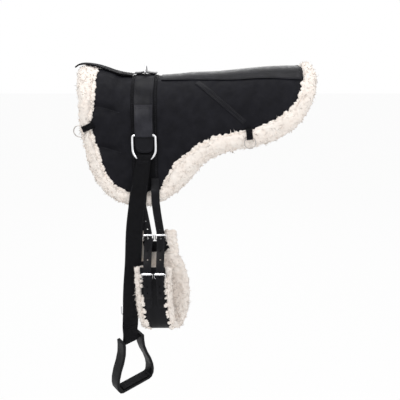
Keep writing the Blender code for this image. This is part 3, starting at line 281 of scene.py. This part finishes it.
def fleece_finish(name, light, deep, warm):
    """Curly wool pile: pale tips, with painted shade that makes the hollows between curls darker and warmer.
    """
    f = Finish(name, 0.92, Sheen_Weight=0.35, Sheen_Roughness=0.55)
    curls = f.spread(f.cells(120, "SMOOTH_F1"), 0.05, 0.8, 0, 1)
    colour = f.mix(f.spread(f.noise(30, 4), 0.35, 0.7, 0, 0.7), light, warm)
    # Painted shade: the hollows between curls, low in the bump below, are mixed up to 30% towards the
    # darker, warmer deep colour.
    colour = f.mix(f.math("MULTIPLY", curls, 0.30), colour, deep)
    f.bump(f.math("SUBTRACT", 1.0, curls), 0.0005)
    f.bump(f.noise(420, 5, rough=0.6), 0.00025)
    return f.done(colour, f.spread(f.noise(200, 3), 0.3, 0.7, 0.85, 0.97))


def metal(name, colour, rough):
    """Plated steel: bright, with faint clouding and hairline scratches."""
    f = Finish(name, rough, 1.0)
    dull = f.noise(120, 4)
    scratch = f.noise(700, 2, at=f.place(stretch=(1, 0.12, 1)))
    tone = f.mix(f.spread(dull, 0.35, 0.75, 0, 0.6), colour, tuple(c * 0.86 for c in colour))
    f.bump(scratch, 0.00001)
    marks = f.math("ADD", dull, f.math("MULTIPLY", scratch, 0.4))
    return f.done(tone, f.spread(marks, 0.4, 1.0, rough, rough + 0.16))


def moulded(name, dark, light, rough, grain, depth):
    """Moulded plastic or rubber with a fine grained face."""
    f = Finish(name, rough, Specular_IOR_Level=0.12)
    worn = f.spread(f.node("NewGeometry").outputs["Pointiness"], 0.52, 0.62, 0, 0.5)
    colour = f.mix(f.spread(f.noise(50, 4), 0.35, 0.7, 0, 1), dark, light)
    colour = f.mix(worn, colour, tuple(c * 2.6 for c in light))
    f.bump(f.cells(grain), depth)
    f.bump(f.noise(160, 3), depth * 2)
    return f.done(colour, f.spread(f.noise(90, 3), 0.3, 0.7, rough - 0.05, rough + 0.12))


COVER = leather("cover_nubuck", (0.0036, 0.0036, 0.0058), (0.0072, 0.0072, 0.0105), 0.60, 900, 0.00014)
LEATHER = leather(
    "harness_leather", (0.0026, 0.0026, 0.0036), (0.0055, 0.0055, 0.0075), 0.45, 1300, 0.00007, 0.02)
GLOSSY = leather(
    "glossy_leather", (0.0036, 0.0036, 0.0054), (0.0078, 0.0078, 0.0110), 0.42, 1500, 0.00005, 0.03)
# A lighter copy of the glossy leather for the ring chapes: its lighter colour is painted sheen, its coat and
# lower roughness real gloss.
POLISHED_PAINTED_SHEEN = leather(
    "polished_leather", (0.0110, 0.0110, 0.0150), (0.0270, 0.0270, 0.0340), 0.38, 1500, 0.00005, 0.06)
# Webbing and waxed thread both take the weave's painted shade in their grooves.
WEBBING = webbing("woven_webbing", (0.0018, 0.0018, 0.0026), (0.0050, 0.0050, 0.0068), 0.0017)
THREAD = webbing("waxed_thread", (0.0080, 0.0080, 0.0100), (0.0600, 0.0600, 0.0700), 0.0006, 0.5)
# The fleece's deep colour is painted shade for the hollows between its curls.
FLEECE = fleece_finish("wool_fleece", (0.94, 0.885, 0.83), (0.84, 0.72, 0.64), (0.91, 0.82, 0.75))
CHROME = metal("chrome_plate", (0.86, 0.86, 0.88), 0.10)
# A darker, rougher copy of the plated metal for the small corner rings: its darker colour is painted shade,
# its roughness real.
DULL_SHADED_METAL = metal("dull_nickel", (0.50, 0.47, 0.45), 0.22)
PLASTIC = moulded("moulded_plastic", (0.0030, 0.0030, 0.0038), (0.0060, 0.0060, 0.0074), 0.42, 1400, 0.00005)
RUBBER = moulded("tread_rubber", (0.0050, 0.0050, 0.0054), (0.0100, 0.0100, 0.0108), 0.72, 900, 0.00012)


# Making pieces

def dress(mesh, finish):
    """One material and smooth shading for a whole mesh."""
    mesh.materials.clear()
    mesh.materials.append(finish)
    mesh.shade_smooth()


def add(name, mesh, finish, body):
    """A new piece of that material, riding on its body."""
    obj = bpy.data.objects.new(name, mesh)
    bpy.context.scene.collection.objects.link(obj)
    dress(mesh, finish)
    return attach(obj, body)


def stands_for(obj, *names):
    """The piece replaces these nodes, which are hidden."""
    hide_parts(*names)
    return obj


def node_bmesh(*names):
    """A welded working copy of one or several nodes."""
    bm = bmesh.new()
    for name in names:
        bm.from_mesh(nodes[name].data)
    bmesh.ops.remove_doubles(bm, verts=bm.verts[:], dist=0.00001)
    return bm


def mesh_of(bm, name):
    """The working mesh as a new mesh; the working one is freed."""
    mesh = bpy.data.meshes.new(name)
    bm.to_mesh(mesh)
    bm.free()
    return mesh


def applied(obj):
    """The object with its modifiers worked into its mesh."""
    graph = bpy.context.evaluated_depsgraph_get()
    mesh = bpy.data.meshes.new_from_object(obj.evaluated_get(graph))
    obj.modifiers.clear()
    obj.data = mesh
    return obj


def lay_uv(mesh):
    """Unrolled coordinates in metres, so that weave and grain follow the straps."""
    layer = mesh.uv_layers.new(name="laid") if not mesh.uv_layers else mesh.uv_layers[0]
    flat = [unroll(v.co) for v in mesh.vertices]
    for loop in mesh.loops:
        layer.data[loop.index].uv = flat[loop.vertex_index]


def tree_of(*names):
    """A search tree over CAD nodes."""
    bm = node_bmesh(*names)
    tree = BVHTree.FromBMesh(bm)
    bm.free()
    return tree


def tree_from(obj):
    """A search tree over a finished piece."""
    mesh = obj.data
    return BVHTree.FromPolygons([v.co for v in mesh.vertices], [tuple(p.vertices) for p in mesh.polygons])


def subdivide(obj, levels):
    smooth = obj.modifiers.new("smooth", "SUBSURF")
    smooth.levels = smooth.render_levels = levels


def strap(name, finish, level=2, edge=0.0006, angle=38):
    """A strap on its node's form: bends smoothed, its long edges kept and then rounded."""
    bm = node_bmesh(name)
    flat, quad = math.radians(14), math.radians(70)
    bmesh.ops.join_triangles(bm, faces=bm.faces[:], angle_face_threshold=flat, angle_shape_threshold=quad)
    crease = bm.edges.layers.float.new("crease_edge")
    for e in bm.edges:
        if e.calc_face_angle(0) > math.radians(angle):
            e[crease] = 1
    obj = add(name + "_made", mesh_of(bm, name + "_made"), finish, body_of[name])
    if level:
        subdivide(obj, level)
    rounded = obj.modifiers.new("edge", "BEVEL")
    rounded.width = edge
    rounded.segments = 2
    rounded.limit_method = "ANGLE"
    rounded.angle_limit = math.radians(angle)
    applied(obj)
    lay_uv(obj.data)
    return stands_for(obj, name)


def put_points(mesh, points):
    """Move all the points of a mesh at once, since one by one is slow."""
    mesh.vertices.foreach_set("co", np.array(points, np.float32).ravel())
    mesh.update()


def push(obj, rise):
    """Move every point along its normal, by rise(point, index)."""
    mesh = obj.data
    places = [v.co.copy() for v in mesh.vertices]
    normals = [v.vector.copy() for v in mesh.vertex_normals]
    put_points(mesh, [p + n * rise(p, i) for i, (p, n) in enumerate(zip(places, normals))])


def inflate(obj, pinned, room):
    """Blow a padded piece up as cloth, each point held to its room, then keep the shape."""
    rest = [v.co.copy() for v in obj.data.vertices]
    group = obj.vertex_groups.new(name="pinned")
    for i, share in enumerate(pinned):
        group.add([i], share, "REPLACE")
    cloth = obj.modifiers.new("cloth", "CLOTH")
    settings = cloth.settings
    settings.quality = 4
    settings.use_pressure = True
    settings.uniform_pressure_force = PRESSURE
    settings.vertex_group_mass = "pinned"
    settings.effector_weights.gravity = 0
    cloth.collision_settings.use_collision = False
    cloth.point_cache.frame_start, cloth.point_cache.frame_end = 1, CLOTH_FRAMES
    for f in range(1, CLOTH_FRAMES + 1):
        bpy.context.scene.frame_set(f)
    graph = bpy.context.evaluated_depsgraph_get()
    swollen = [v.co.copy() for v in obj.evaluated_get(graph).data.vertices]
    obj.modifiers.remove(cloth)
    obj.vertex_groups.clear()
    bpy.context.scene.frame_set(1)
    put_points(obj.data, [a + (b - a) * min(1, most / max((b - a).length, 1e-6))
                          for a, b, most in zip(rest, swollen, room)])


# The padded cover: a fine shell over cover and foam, quilted and puffed up

ON_COVER = ["surcingle_base", "spine_panel", "wither_strap"]
ON_COVER += [side + part for side in ("near_", "far_") for part in ("brace", "rear_tab", "front_tab")]
COLUMNS, ROWS = 108, 58
INNER_LIFT = -COVER_THICK - FOAM_THICK - 0.0003


def cover_point(over, u, v, side):
    """A point of the cover's outer face and the room it has to swell, under the straps that lie on it."""
    x, fall = patch(u, v)
    length = patch(1, v).x - patch(0, v).x
    border = min(u * length, (1 - u) * length, (1 - v) * patch(u, 1).y)
    edge = min(border / EDGE_TURN, 1)
    lift = pillow(x, fall) - sunk(x, fall) - EDGE_DROP * (1 - edge) ** 2
    p = skin(x, fall, lift, side)
    hit = over.find_nearest(p, REACH)
    free = min(max(hit[3] - COVER_CLEAR, 0), COVER_SWELL) if hit[0] else COVER_SWELL
    seam = min(abs(fall - s * PAD_FALL) for s in CHANNELS) if x < PANEL_REAR else 1
    free *= min(border / 0.012, 1) * min(seam / 0.009, 1)
    crease = noise.noise(Vector((x * 26, fall * 34, side))) + 0.5 * noise.noise(p * 80)
    return skin(x, fall, lift + crease * 0.30 * free, side), free


def cover():
    """The outer and inner faces of cover and foam on one grid, closed round the rim, as one padded piece."""
    over = tree_of(*ON_COVER)
    bm = bmesh.new()
    room, pinned, grid = [], [], []
    for outer in (True, False):
        rows = []
        for i in range(COLUMNS + 1):
            u = i / COLUMNS
            column = []
            for j in range(-ROWS, ROWS + 1):
                v, side = abs(j) / ROWS, NEAR if j < 0 else FAR
                p, free = skin(*patch(u, v), INNER_LIFT, side), 0.0
                if outer:
                    p, free = cover_point(over, u, v, side)
                column.append(bm.verts.new(p))
                room.append(free)
                pinned.append(1.0 if free < 0.0004 else 0.0)
            rows.append(column)
        grid.append(rows)
    top, low = grid
    for rows, turn in ((top, 1), (low, -1)):
        for a, b in zip(rows, rows[1:]):
            for k in range(2 * ROWS):
                bm.faces.new((a[k], b[k], b[k + 1], a[k + 1])[::turn])
    rim = [(i, 0) for i in range(COLUMNS + 1)] + [(COLUMNS, k) for k in range(1, 2 * ROWS + 1)]
    rim += [(i, 2 * ROWS) for i in range(COLUMNS - 1, -1, -1)] + [(0, k) for k in range(2 * ROWS - 1, 0, -1)]
    for (i, k), (m, n) in zip(rim, rim[1:] + rim[:1]):
        bm.faces.new((top[i][k], low[i][k], low[m][n], top[m][n]))
    bmesh.ops.recalc_face_normals(bm, faces=bm.faces[:])
    obj = add("padded_cover", mesh_of(bm, "padded_cover"), COVER, "pad")
    inflate(obj, pinned, room)
    push(obj, lambda p, i: room[i] * 0.22 * noise.noise(p * 140))
    lay_uv(obj.data)
    stands_for(obj, "pad_cover", "foam_core")
    return obj


# Fleece: one body for roll and lining, another on the girth, swollen, curled and tufted

OVER_FLEECE = [n for n in nodes
               if n not in ("fleece_roll", "fleece_lining", "pad_cover", "foam_core", "girth_fleece")]


def lumps(bm, spots, seed):
    """Curled locks that spill over an edge: flattened uneven balls, each at a spot with its own axes."""
    draw = np.random.default_rng(seed)
    ball = bmesh.new()
    bmesh.ops.create_icosphere(ball, subdivisions=2, radius=1)
    shape = [v.co.copy() for v in ball.verts]
    faces = [[v.index for v in f.verts] for f in ball.faces]
    ball.free()
    points, sides = [], []
    for at, along, up, sizes in spots:
        across = along.cross(up).normalized()
        tilt = draw.normal() * 0.3
        way = (along * math.cos(tilt) + across * math.sin(tilt)).normalized()
        wide = way.cross(up).normalized()
        sides += [[len(points) + k for k in face] for face in faces]
        for co in shape:
            q = co * (1 + 0.35 * noise.noise(co * 1.7 + at * 900))
            points.append(at + way * q.x * sizes[0] + wide * q.y * sizes[1] + up * q.z * sizes[2])
    mesh = bpy.data.meshes.new("locks")
    mesh.from_pydata(points, [], sides)
    bm.from_mesh(mesh)


def border_spots(over, seed):
    """Where wool curls over the cover's edge: front, lower edge and rear of each flap."""
    draw = np.random.default_rng(seed)
    found = []
    front, lower, rear = range(3)
    ways = [(0, s / 46, front) for s in range(47)] + [(s / 82, 1, lower) for s in range(83)]
    ways += [(1, s / 30, rear) for s in range(31)]
    for side in (NEAR, FAR):
        for u, v, run in ways:
            jump = (draw.random() - 0.5) * 0.008
            du, dv = (jump, 0) if run == lower else (0, jump)
            u, v = min(max(u + du, 0), 1), min(max(v + dv, 0), 1)
            place = patch(u, v)
            inward = (patch(0.4, 0.4) - place).normalized() * 0.0030 * (draw.random() - 0.25)
            lift = pillow(place.x, place.y)
            p = skin(*(place + inward), lift + 0.0006, side)
            up = (skin(*place, lift + 0.01, side) - skin(*place, lift, side)).normalized()
            ahead = patch(min(u + 0.01, 1), v) if run == lower else patch(u, min(v + 0.01, 1))
            behind = patch(max(u - 0.01, 0), v) if run == lower else patch(u, max(v - 0.01, 0))
            along = (skin(*ahead, lift, side) - skin(*behind, lift, side)).normalized()
            big = 0.65 + 0.75 * draw.random()
            sizes = (0.0060 * big, 0.0054 * big * (0.6 + 0.8 * draw.random()), 0.0032 * big)
            hit = over.find_nearest(p, REACH)
            if not hit[0] or hit[3] > 0.0070:
                found.append((p, along, up, sizes))
    return found


def tufted(name, parts, voxel, swell, curl, count, seed, spots):
    """A wool body in place of some nodes: remeshed, swollen, curled, with lumps at its spots and tufts."""
    obj = add(name, mesh_of(node_bmesh(*parts), name), FLEECE, body_of[parts[0]])
    remesh = obj.modifiers.new("voxels", "REMESH")
    remesh.mode = "VOXEL"
    remesh.voxel_size = voxel
    applied(obj)
    over = tree_of(*OVER_FLEECE)

    def rooms(most):
        """How far each point can rise before it meets another piece."""
        found = []
        for v in obj.data.vertices:
            hit = over.find_nearest(v.co, REACH)
            found.append(min(most, max(hit[3] - WOOL_CLEAR, 0.0)) if hit[0] else most)
        return found

    inflate(obj, [0.0] * len(obj.data.vertices), rooms(swell))
    subdivide(obj, 1)
    applied(obj)
    dress(obj.data, FLEECE)
    free = rooms(curl)

    def curled(p, i):
        rise = noise.noise(p * 70 + Vector((seed, 0, 0))) * 0.8
        rise += noise.noise(p * 160) * 0.7
        rise += noise.noise(p * 330) * 0.4
        return max(min(rise * curl, free[i]), -curl)

    push(obj, curled)
    bm = bmesh.new()
    bm.from_mesh(obj.data)
    lumps(bm, spots(over, seed), seed)
    for f in bm.faces:
        f.smooth = True
    bm.to_mesh(obj.data)
    bm.free()
    tufts(obj, over, count, seed)
    lay_uv(obj.data)
    stands_for(obj, *parts)


def ring_of(bm, middle, across, up, radius, angles):
    """New points round a middle."""
    return [bm.verts.new(middle + (across * math.cos(t) + up * math.sin(t)) * radius) for t in angles]


def tufts(obj, over, count, seed):
    """Locks of wool over the pile: short bent spikes, where nothing lies on the fleece."""
    draw = np.random.default_rng(seed)
    mesh = obj.data
    mesh.calc_loop_triangles()
    corners = np.array([t.vertices for t in mesh.loop_triangles])
    at = np.array([v.co for v in mesh.vertices])
    a, b, c = at[corners[:, 0]], at[corners[:, 1]], at[corners[:, 2]]
    cross = np.cross(b - a, c - a)
    area = np.linalg.norm(cross, axis=1)
    chosen = draw.choice(len(area), count, p=area / area.sum())
    bm = bmesh.new()
    bm.from_mesh(mesh)
    for k in chosen:
        s, t = draw.random(2)
        if s + t > 1:
            s, t = 1 - s, 1 - t
        root = Vector(a[k] + (b[k] - a[k]) * s + (c[k] - a[k]) * t)
        n = Vector(cross[k] / max(area[k], 1e-12))
        lean = Vector(draw.normal(size=3)) * 0.9
        lean -= n * lean.dot(n)
        length = 0.0030 + 0.0030 * draw.random()
        hit = over.find_nearest(root, 0.02)
        room = hit[3] if hit[0] else 0.02
        if room < 0.0022:
            continue
        length = min(length, room * 0.8)
        side = n.orthogonal().normalized()
        other = n.cross(side)
        wide = 0.0014 + 0.0009 * draw.random()
        low, high = (
            ring_of(bm, root + n * (length * share - 0.0006) + lean * length * share**2, side, other,
                    wide * girth, THIRDS)
            for share, girth in ((0, 1), (0.55, 0.75)))
        tip = bm.verts.new(root + n * length * 0.86 + lean * length * 1.15)
        for i in range(3):
            j = (i + 1) % 3
            bm.faces.new((low[i], low[j], high[j], high[i])).smooth = True
            bm.faces.new((high[i], high[j], tip)).smooth = True
        bm.faces.new(low[::-1])
    bm.to_mesh(mesh)
    bm.free()


# Stitching: short waxed threads laid on a surface

class Seams:
    """All the stitches that ride on one body."""

    def __init__(self, body):
        self.body, self.bm = body, bmesh.new()

    def stitch(self, a, b, up, radius):
        """One thread between two points, its ends sunk into the surface."""
        across = (b - a).normalized().cross(up).normalized()
        rings = [
            ring_of(self.bm, a.lerp(b, share) + up * rise * radius, across, up, radius * size, SIXTHS)
            for share, rise, size in ((0, -0.6, 0.55), (0.18, 0.25, 1), (0.82, 0.25, 1), (1, -0.6, 0.55))]
        for low, high in zip(rings, rings[1:]):
            for i in range(6):
                j = (i + 1) % 6
                self.bm.faces.new((low[i], low[j], high[j], high[i]))
        self.bm.faces.new(rings[0][::-1])
        self.bm.faces.new(rings[-1])

    def line(self, points, ups, pitch=STITCH_PITCH, radius=STITCH_RADIUS):
        """Stitches along a polyline that lies on a surface."""
        lengths = [0.0]
        for p, q in zip(points, points[1:]):
            lengths.append(lengths[-1] + (q - p).length)
        count = max(int(lengths[-1] / pitch), 1)
        step = lengths[-1] / count

        def at(d):
            i = max(k for k in range(len(lengths) - 1) if lengths[k] <= d + 1e-9)
            f = min((d - lengths[i]) / max(lengths[i + 1] - lengths[i], 1e-9), 1)
            return points[i].lerp(points[i + 1], f), ups[i].lerp(ups[i + 1], f).normalized()

        for k in range(count):
            p, up = at(k * step)
            q, _ = at((k + STITCH_SHARE) * step)
            self.stitch(p, q, up, radius)

    def done(self, name, like):
        """The stitches as one piece of waxed thread; the node that they lie on, like, is not used."""
        bmesh.ops.recalc_face_normals(self.bm, faces=self.bm.faces[:])
        obj = add(name, mesh_of(self.bm, name), THREAD, self.body)
        lay_uv(obj.data)


def landed(tree, rays, reach):
    """Where rays meet a surface, and its normals turned towards where the rays come from."""
    points, ups = [], []
    for start, way in rays:
        hit = tree.ray_cast(start, way, reach)
        if hit[0]:
            points.append(hit[0])
            ups.append(hit[1] if hit[1].dot(way) < 0 else -hit[1])
    return points, ups


def on_pad(tree, places, side):
    """Points of a seam on the pad's pieces, from places along the pad and falls."""
    rays = []
    for x, fall in places:
        high, low = skin(x, fall, 0.03, side), skin(x, fall, -0.02, side)
        rays.append((high, (low - high).normalized()))
    return landed(tree, rays, 0.06)


def on_hanging(tree, places, side):
    """Points of a seam on hanging pieces, from places along the pad and heights."""
    return landed(tree, [(Vector((x, side * 0.4, z)), Vector((0, -side, 0))) for x, z in places], 0.4)


def slice_at(obj, z):
    """Lowest and highest place along the pad where a hanging piece crosses a height."""
    mesh = obj.data
    at = np.zeros(len(mesh.vertices) * 3)
    mesh.vertices.foreach_get("co", at)
    ends = np.zeros(len(mesh.edges) * 2, np.int32)
    mesh.edges.foreach_get("vertices", ends)
    p, q = at.reshape(-1, 3)[ends[0::2]], at.reshape(-1, 3)[ends[1::2]]
    cross = (p[:, 2] - z) * (q[:, 2] - z) < 0
    p, q = p[cross], q[cross]
    if not len(p):
        return None
    found = p[:, 0] + (q[:, 0] - p[:, 0]) * (z - p[:, 2]) / (q[:, 2] - p[:, 2])
    return float(found.min()), float(found.max())


def steps(a, b, count):
    """Even steps from a to b, with both ends."""
    return [a + (b - a) * i / count for i in range(count + 1)]


def girth_spots(over, seed):
    """Where the girth's wool curls over the leather's edges, and fills the sides of its upper end."""
    draw = np.random.default_rng(seed)
    band, surface = made["girth_band"], tree_of("girth_band")
    upward = Vector((0, 0, 1))
    found = []
    for k in range(46):
        z = -0.492 - 0.36 * k / 45
        span = slice_at(band, z + 0.0001)
        for x, inward in ((span[0], 1), (span[0] + GIRTH_WIDTH, -1)) if span else ():
            p, n = on_hanging(surface, [(x + inward * 0.001, z)], NEAR)
            if p:
                big = 0.7 + 0.7 * draw.random()
                at = p[0] + Vector((inward * 0.002 * (draw.random() - 0.4), 0, 0)) + n[0] * 0.0005
                sizes = (0.0052 * big, 0.0056 * big * (0.6 + 0.7 * draw.random()), 0.003 * big)
                found.append((at, upward, n[0], sizes))
    for k in range(11):
        z = -0.386 - 0.008 * k
        for x in (-0.032, -0.024, 0.053, 0.061, 0.069 + 0.0006 * k):
            big = 0.8 + 0.35 * draw.random()
            at = Vector((x + 0.003 * (draw.random() - 0.5), -0.1155, z))
            found.append((at, upward, Vector((0, -1, 0)), (0.0105 * big, 0.0095 * big, 0.0080 * big)))
    return [s for s in found if (over.find_nearest(s[0] - s[2] * s[3][2], REACH)[3] or 1) > 0.001]


# The pieces: straps and leatherwork on their nodes' forms, the padded cover, and the wool

made = {"girth_band": strap("girth_band", LEATHER)}
padded = cover()
tufted("wool_lining", ["fleece_roll", "fleece_lining"], 0.006, 0.003, 0.0028, 9000, 3, border_spots)
tufted("wool_girth", ["girth_fleece"], 0.005, 0.003, 0.0026, 3000, 5, girth_spots)
for name in ("surcingle_base", "wither_strap"):
    made[name] = strap(name, WEBBING)
for name in ("spine_panel", "surcingle_strap", "top_keeper"):
    made[name] = strap(name, GLOSSY)
for side in ("near_", "far_"):
    # The ring chapes take the lighter leather with painted sheen.
    made[side + "ring_chape"] = strap(side + "ring_chape", POLISHED_PAINTED_SHEEN)
    made[side + "brace"] = strap(side + "brace", GLOSSY, edge=0.0004)
    for end in ("front_tab", "rear_tab"):
        made[side + end] = strap(side + end, WEBBING, edge=0.0004)
    for end in ("front_billet", "rear_billet"):
        made[side + end] = strap(side + end, LEATHER, level=0)
    made[side + "stirrup_strap"] = strap(side + "stirrup_strap", WEBBING)
for level in ("upper_", "lower_"):
    for end in ("front_chape", "rear_chape"):
        made[level + end] = strap(level + end, LEATHER, level=0, edge=0.0004)


# Stitching

BASE_END = 0.332
STRAP_HALF, STRAP_END = 0.0215, 0.214


def surcingle_seams(target, name, side):
    """Down the edges of base, upper strap and chape, with bars across and the strap's pointed end."""
    for part, half, first, last, bars in (
            ("surcingle_base", 0.0305, 0.003, BASE_END, (BASE_END,)),
            ("surcingle_base", 0.0280, 0.003, BASE_END, (BASE_END,)),
            ("surcingle_strap", STRAP_HALF, 0.035, STRAP_END, ()),
            (name + "ring_chape", 0.0200, 0.121, 0.184, (0.121, 0.125))):
        tree = tree_from(made[part])
        for x in (SURCINGLE_X - half, SURCINGLE_X + half):
            target.line(*on_pad(tree, [(x, f) for f in steps(first, last, 40)], side))
        for fall in bars:
            run = [(x, fall) for x in steps(SURCINGLE_X - half, SURCINGLE_X + half, 8)]
            target.line(*on_pad(tree, run, side))
    arc = [(SURCINGLE_X + STRAP_HALF * math.cos(t), STRAP_END + 0.0205 * math.sin(t))
           for t in steps(0, math.pi, 14)]
    target.line(*on_pad(tree_from(made["surcingle_strap"]), arc, side))


def panel_seams(target, name, side):
    """Round the spine panel, along the brace, across the wither strap and in the quilted channels."""
    tree = tree_from(made["spine_panel"])
    for inset in (0.0030, 0.0058):
        run = [(s * PAD_LENGTH, between(SPINE_PANEL, s) * PAD_FALL - inset) for s in steps(0.070, 0.635, 60)]
        target.line(*on_pad(tree, run, side))
        rear = SPINE_PANEL[-1][0] * PAD_LENGTH - inset
        target.line(*on_pad(tree, [(rear, f) for f in steps(0.002, 0.070, 12)], side))
    tree = tree_from(made[name + "brace"])
    start, end = (Vector((x * PAD_LENGTH, fall * PAD_FALL)) for x, fall in BRACE_ENDS)
    way = (end - start).normalized()
    off = Vector((way.y, -way.x))
    for shift in (-0.0048, 0.0048, -0.0024, 0.0024):
        run = [start.lerp(end, t) + off * shift for t in steps(0.02, 0.98, 30)]
        target.line(*on_pad(tree, run, side))
    run = [(x, 0.0135) for x in steps(-0.083, -0.040, 12)]
    target.line(*on_pad(tree_from(made["wither_strap"]), run, side))
    tree = tree_from(padded)
    for share in CHANNELS:
        run = [(x, share * PAD_FALL) for x in steps(patch(0, share).x + 0.006, PANEL_REAR + 0.008, 16)]
        target.line(*on_pad(tree, run, side))


def tab_seams(target, name, side):
    """Two short bars across each corner tab."""
    for part, centre, turn in TABS:
        tree = tree_from(made[name + part])
        way = Vector((math.sin(math.radians(turn)), math.cos(math.radians(turn))))
        off = Vector((way.y, -way.x))
        root = Vector((centre[0] * PAD_LENGTH, centre[1] * PAD_FALL))
        for along in (0.0022, 0.019):
            run = [root + way * along + off * s for s in steps(-0.0058, 0.0058, 5)]
            target.line(*on_pad(tree, run, side), pitch=0.003, radius=0.00036)


def edge_seams(target, piece, side, inset, first, last, width=None):
    """Down both long edges of a hanging piece, between two heights."""
    obj = made[piece]
    spans = [(z, slice_at(obj, z + 0.00003)) for z in steps(first, last, 48)]
    spans = [(z, (s[0], s[0] + width if width else s[1])) for z, s in spans if s]
    tree = tree_from(obj)
    for pick, way in ((0, 1), (1, -1)):
        run = [(span[pick] + way * inset, z) for z, span in spans]
        target.line(*on_hanging(tree, run, side), pitch=0.0040)


def strap_seams(name, side, last):
    """The stirrup strap's own stitches: down its edges, and two bars under the ring."""
    own, strap_name = Seams(name + "strap"), name + "stirrup_strap"
    edge_seams(own, strap_name, side, 0.0030, -0.235, last)
    tree = tree_from(made[strap_name])
    for z in (-0.172, -0.176):
        span = slice_at(made[strap_name], z)
        run = [(x, z) for x in steps(span[0] + 0.006, span[1] - 0.006, 8)]
        own.line(*on_hanging(tree, run, side), pitch=0.0035)
    own.done(name + "strap_stitches", strap_name)


seams = Seams("pad")
for name, side, billet_end, strap_end in (("near_", NEAR, -0.55, -0.66), ("far_", FAR, -0.53, -0.60)):
    surcingle_seams(seams, name, side)
    panel_seams(seams, name, side)
    tab_seams(seams, name, side)
    for end in ("front_billet", "rear_billet"):
        edge_seams(seams, name + end, side, 0.0026, -0.314, billet_end)
    strap_seams(name, side, strap_end)
    if side == NEAR:
        edge_seams(seams, "girth_band", side, 0.0085, -0.50, -0.80, GIRTH_WIDTH)
        for piece in ("lower_front_chape", "lower_rear_chape"):
            edge_seams(seams, piece, side, 0.0024, -0.515, -0.585)
seams.done("pad_stitches", "surcingle_base")


# Metal, plastic and rubber keep their nodes

METAL = ("ring", "buckle", "roller", "tongue")


def finish_of(name):
    """The small corner rings take a rougher metal with painted shade in its darker colour; the other metal
    is bright.
    """
    if name.endswith(("front_ring", "rear_ring")):
        return DULL_SHADED_METAL
    if name.endswith(METAL):
        return CHROME
    return RUBBER if "tread_pad" in name else PLASTIC


for name, obj in nodes.items():
    if obj.hide_render:
        continue
    dress(obj.data, finish_of(name))
    weld = obj.modifiers.new("weld", "WELD")
    weld.merge_threshold = 0.00001
    if name.endswith(METAL) and "roller" not in name:
        subdivide(obj, 1)
    else:
        even = obj.modifiers.new("even", "WEIGHTED_NORMAL")
        even.keep_sharp = True
    if "custom_normal" in obj.data.attributes:
        obj.data.attributes.remove(obj.data.attributes["custom_normal"])


# Stage: a white floor and background, and soft studio light

FLOOR_HEIGHT, FLOOR_GLOW, SKY_LIGHT = -1.5, 0.93, 0.55


def background_rays(tree):
    """1 for rays that show the white background: from the camera, and by reflection or through glass."""
    rays = tree.nodes.new("ShaderNodeLightPath")
    total = rays.outputs["Is Camera Ray"]
    for kind in ("Glossy", "Transmission"):
        most = tree.nodes.new("ShaderNodeMath")
        most.operation = "MAXIMUM"
        tree.links.new(total, most.inputs[0])
        tree.links.new(rays.outputs["Is " + kind + " Ray"], most.inputs[1])
        total = most.outputs[0]
    return total


def show_mix(tree, share, lit, seen, output):
    """Send a mix of two shaders to the output node."""
    both = tree.nodes.new("ShaderNodeMixShader")
    for socket, value in zip(both.inputs, (share, lit.outputs[0], seen.outputs[0])):
        tree.links.new(value, socket)
    tree.links.new(both.outputs[0], tree.nodes[output].inputs["Surface"])


floor_mesh = bpy.data.meshes.new("floor")
floor_mesh.from_pydata([(-9, -9, 0), (9, -9, 0), (9, 9, 0), (-9, 9, 0)], [], [(0, 1, 2, 3)])
floor = bpy.data.objects.new("floor", floor_mesh)
floor.location.z = FLOOR_HEIGHT
bpy.context.scene.collection.objects.link(floor)
paint = bpy.data.materials.new("floor_paint")
paint.use_nodes = True
tree = paint.node_tree
shader = tree.nodes["Principled BSDF"]
shader.inputs["Base Color"].default_value = (0.93, 0.93, 0.92, 1)
shader.inputs["Roughness"].default_value = 0.9
glow = tree.nodes.new("ShaderNodeEmission")
glow.inputs["Color"].default_value = (1, 1, 1, 1)
part = tree.nodes.new("ShaderNodeMath")
part.operation = "MULTIPLY"
part.inputs[1].default_value = FLOOR_GLOW
tree.links.new(background_rays(tree), part.inputs[0])
show_mix(tree, part.outputs[0], shader, glow, "Material Output")
floor_mesh.materials.append(paint)

world = bpy.data.worlds.new("studio")
bpy.context.scene.world = world
world.use_nodes = True
tree = world.node_tree
sky, seen = tree.nodes["Background"], tree.nodes.new("ShaderNodeBackground")
for node, strength in ((sky, SKY_LIGHT), (seen, 1.0)):
    node.inputs["Color"].default_value = (1, 1, 1, 1)
    node.inputs["Strength"].default_value = strength
show_mix(tree, background_rays(tree), sky, seen, "World Output")


def lamp(name, place, target, size, power):
    """A soft rectangular lamp turned to a target."""
    light = bpy.data.lights.new(name, "AREA")
    light.shape = "RECTANGLE"
    light.size, light.size_y = size
    light.energy = power
    obj = bpy.data.objects.new(name, light)
    bpy.context.scene.collection.objects.link(obj)
    obj.location = place
    obj.rotation_mode = "QUATERNION"
    obj.rotation_quaternion = (Vector(target) - Vector(place)).to_track_quat("-Z", "Y")


lamp("key", (-0.9, -1.8, 1.7), (0.05, 0, -0.2), (1.4, 1.0), 26)
lamp("fill", (1.6, -1.7, 0.5), (0.05, 0, -0.3), (1.2, 1.2), 12)
lamp("top", (0.1, 0.2, 2.0), (0.1, 0, 0), (1.6, 1.0), 16)
lamp("back", (0.5, 2.2, 0.8), (0.1, 0, -0.2), (1.6, 1.2), 16)

bpy.context.scene.view_settings.view_transform = "Standard"
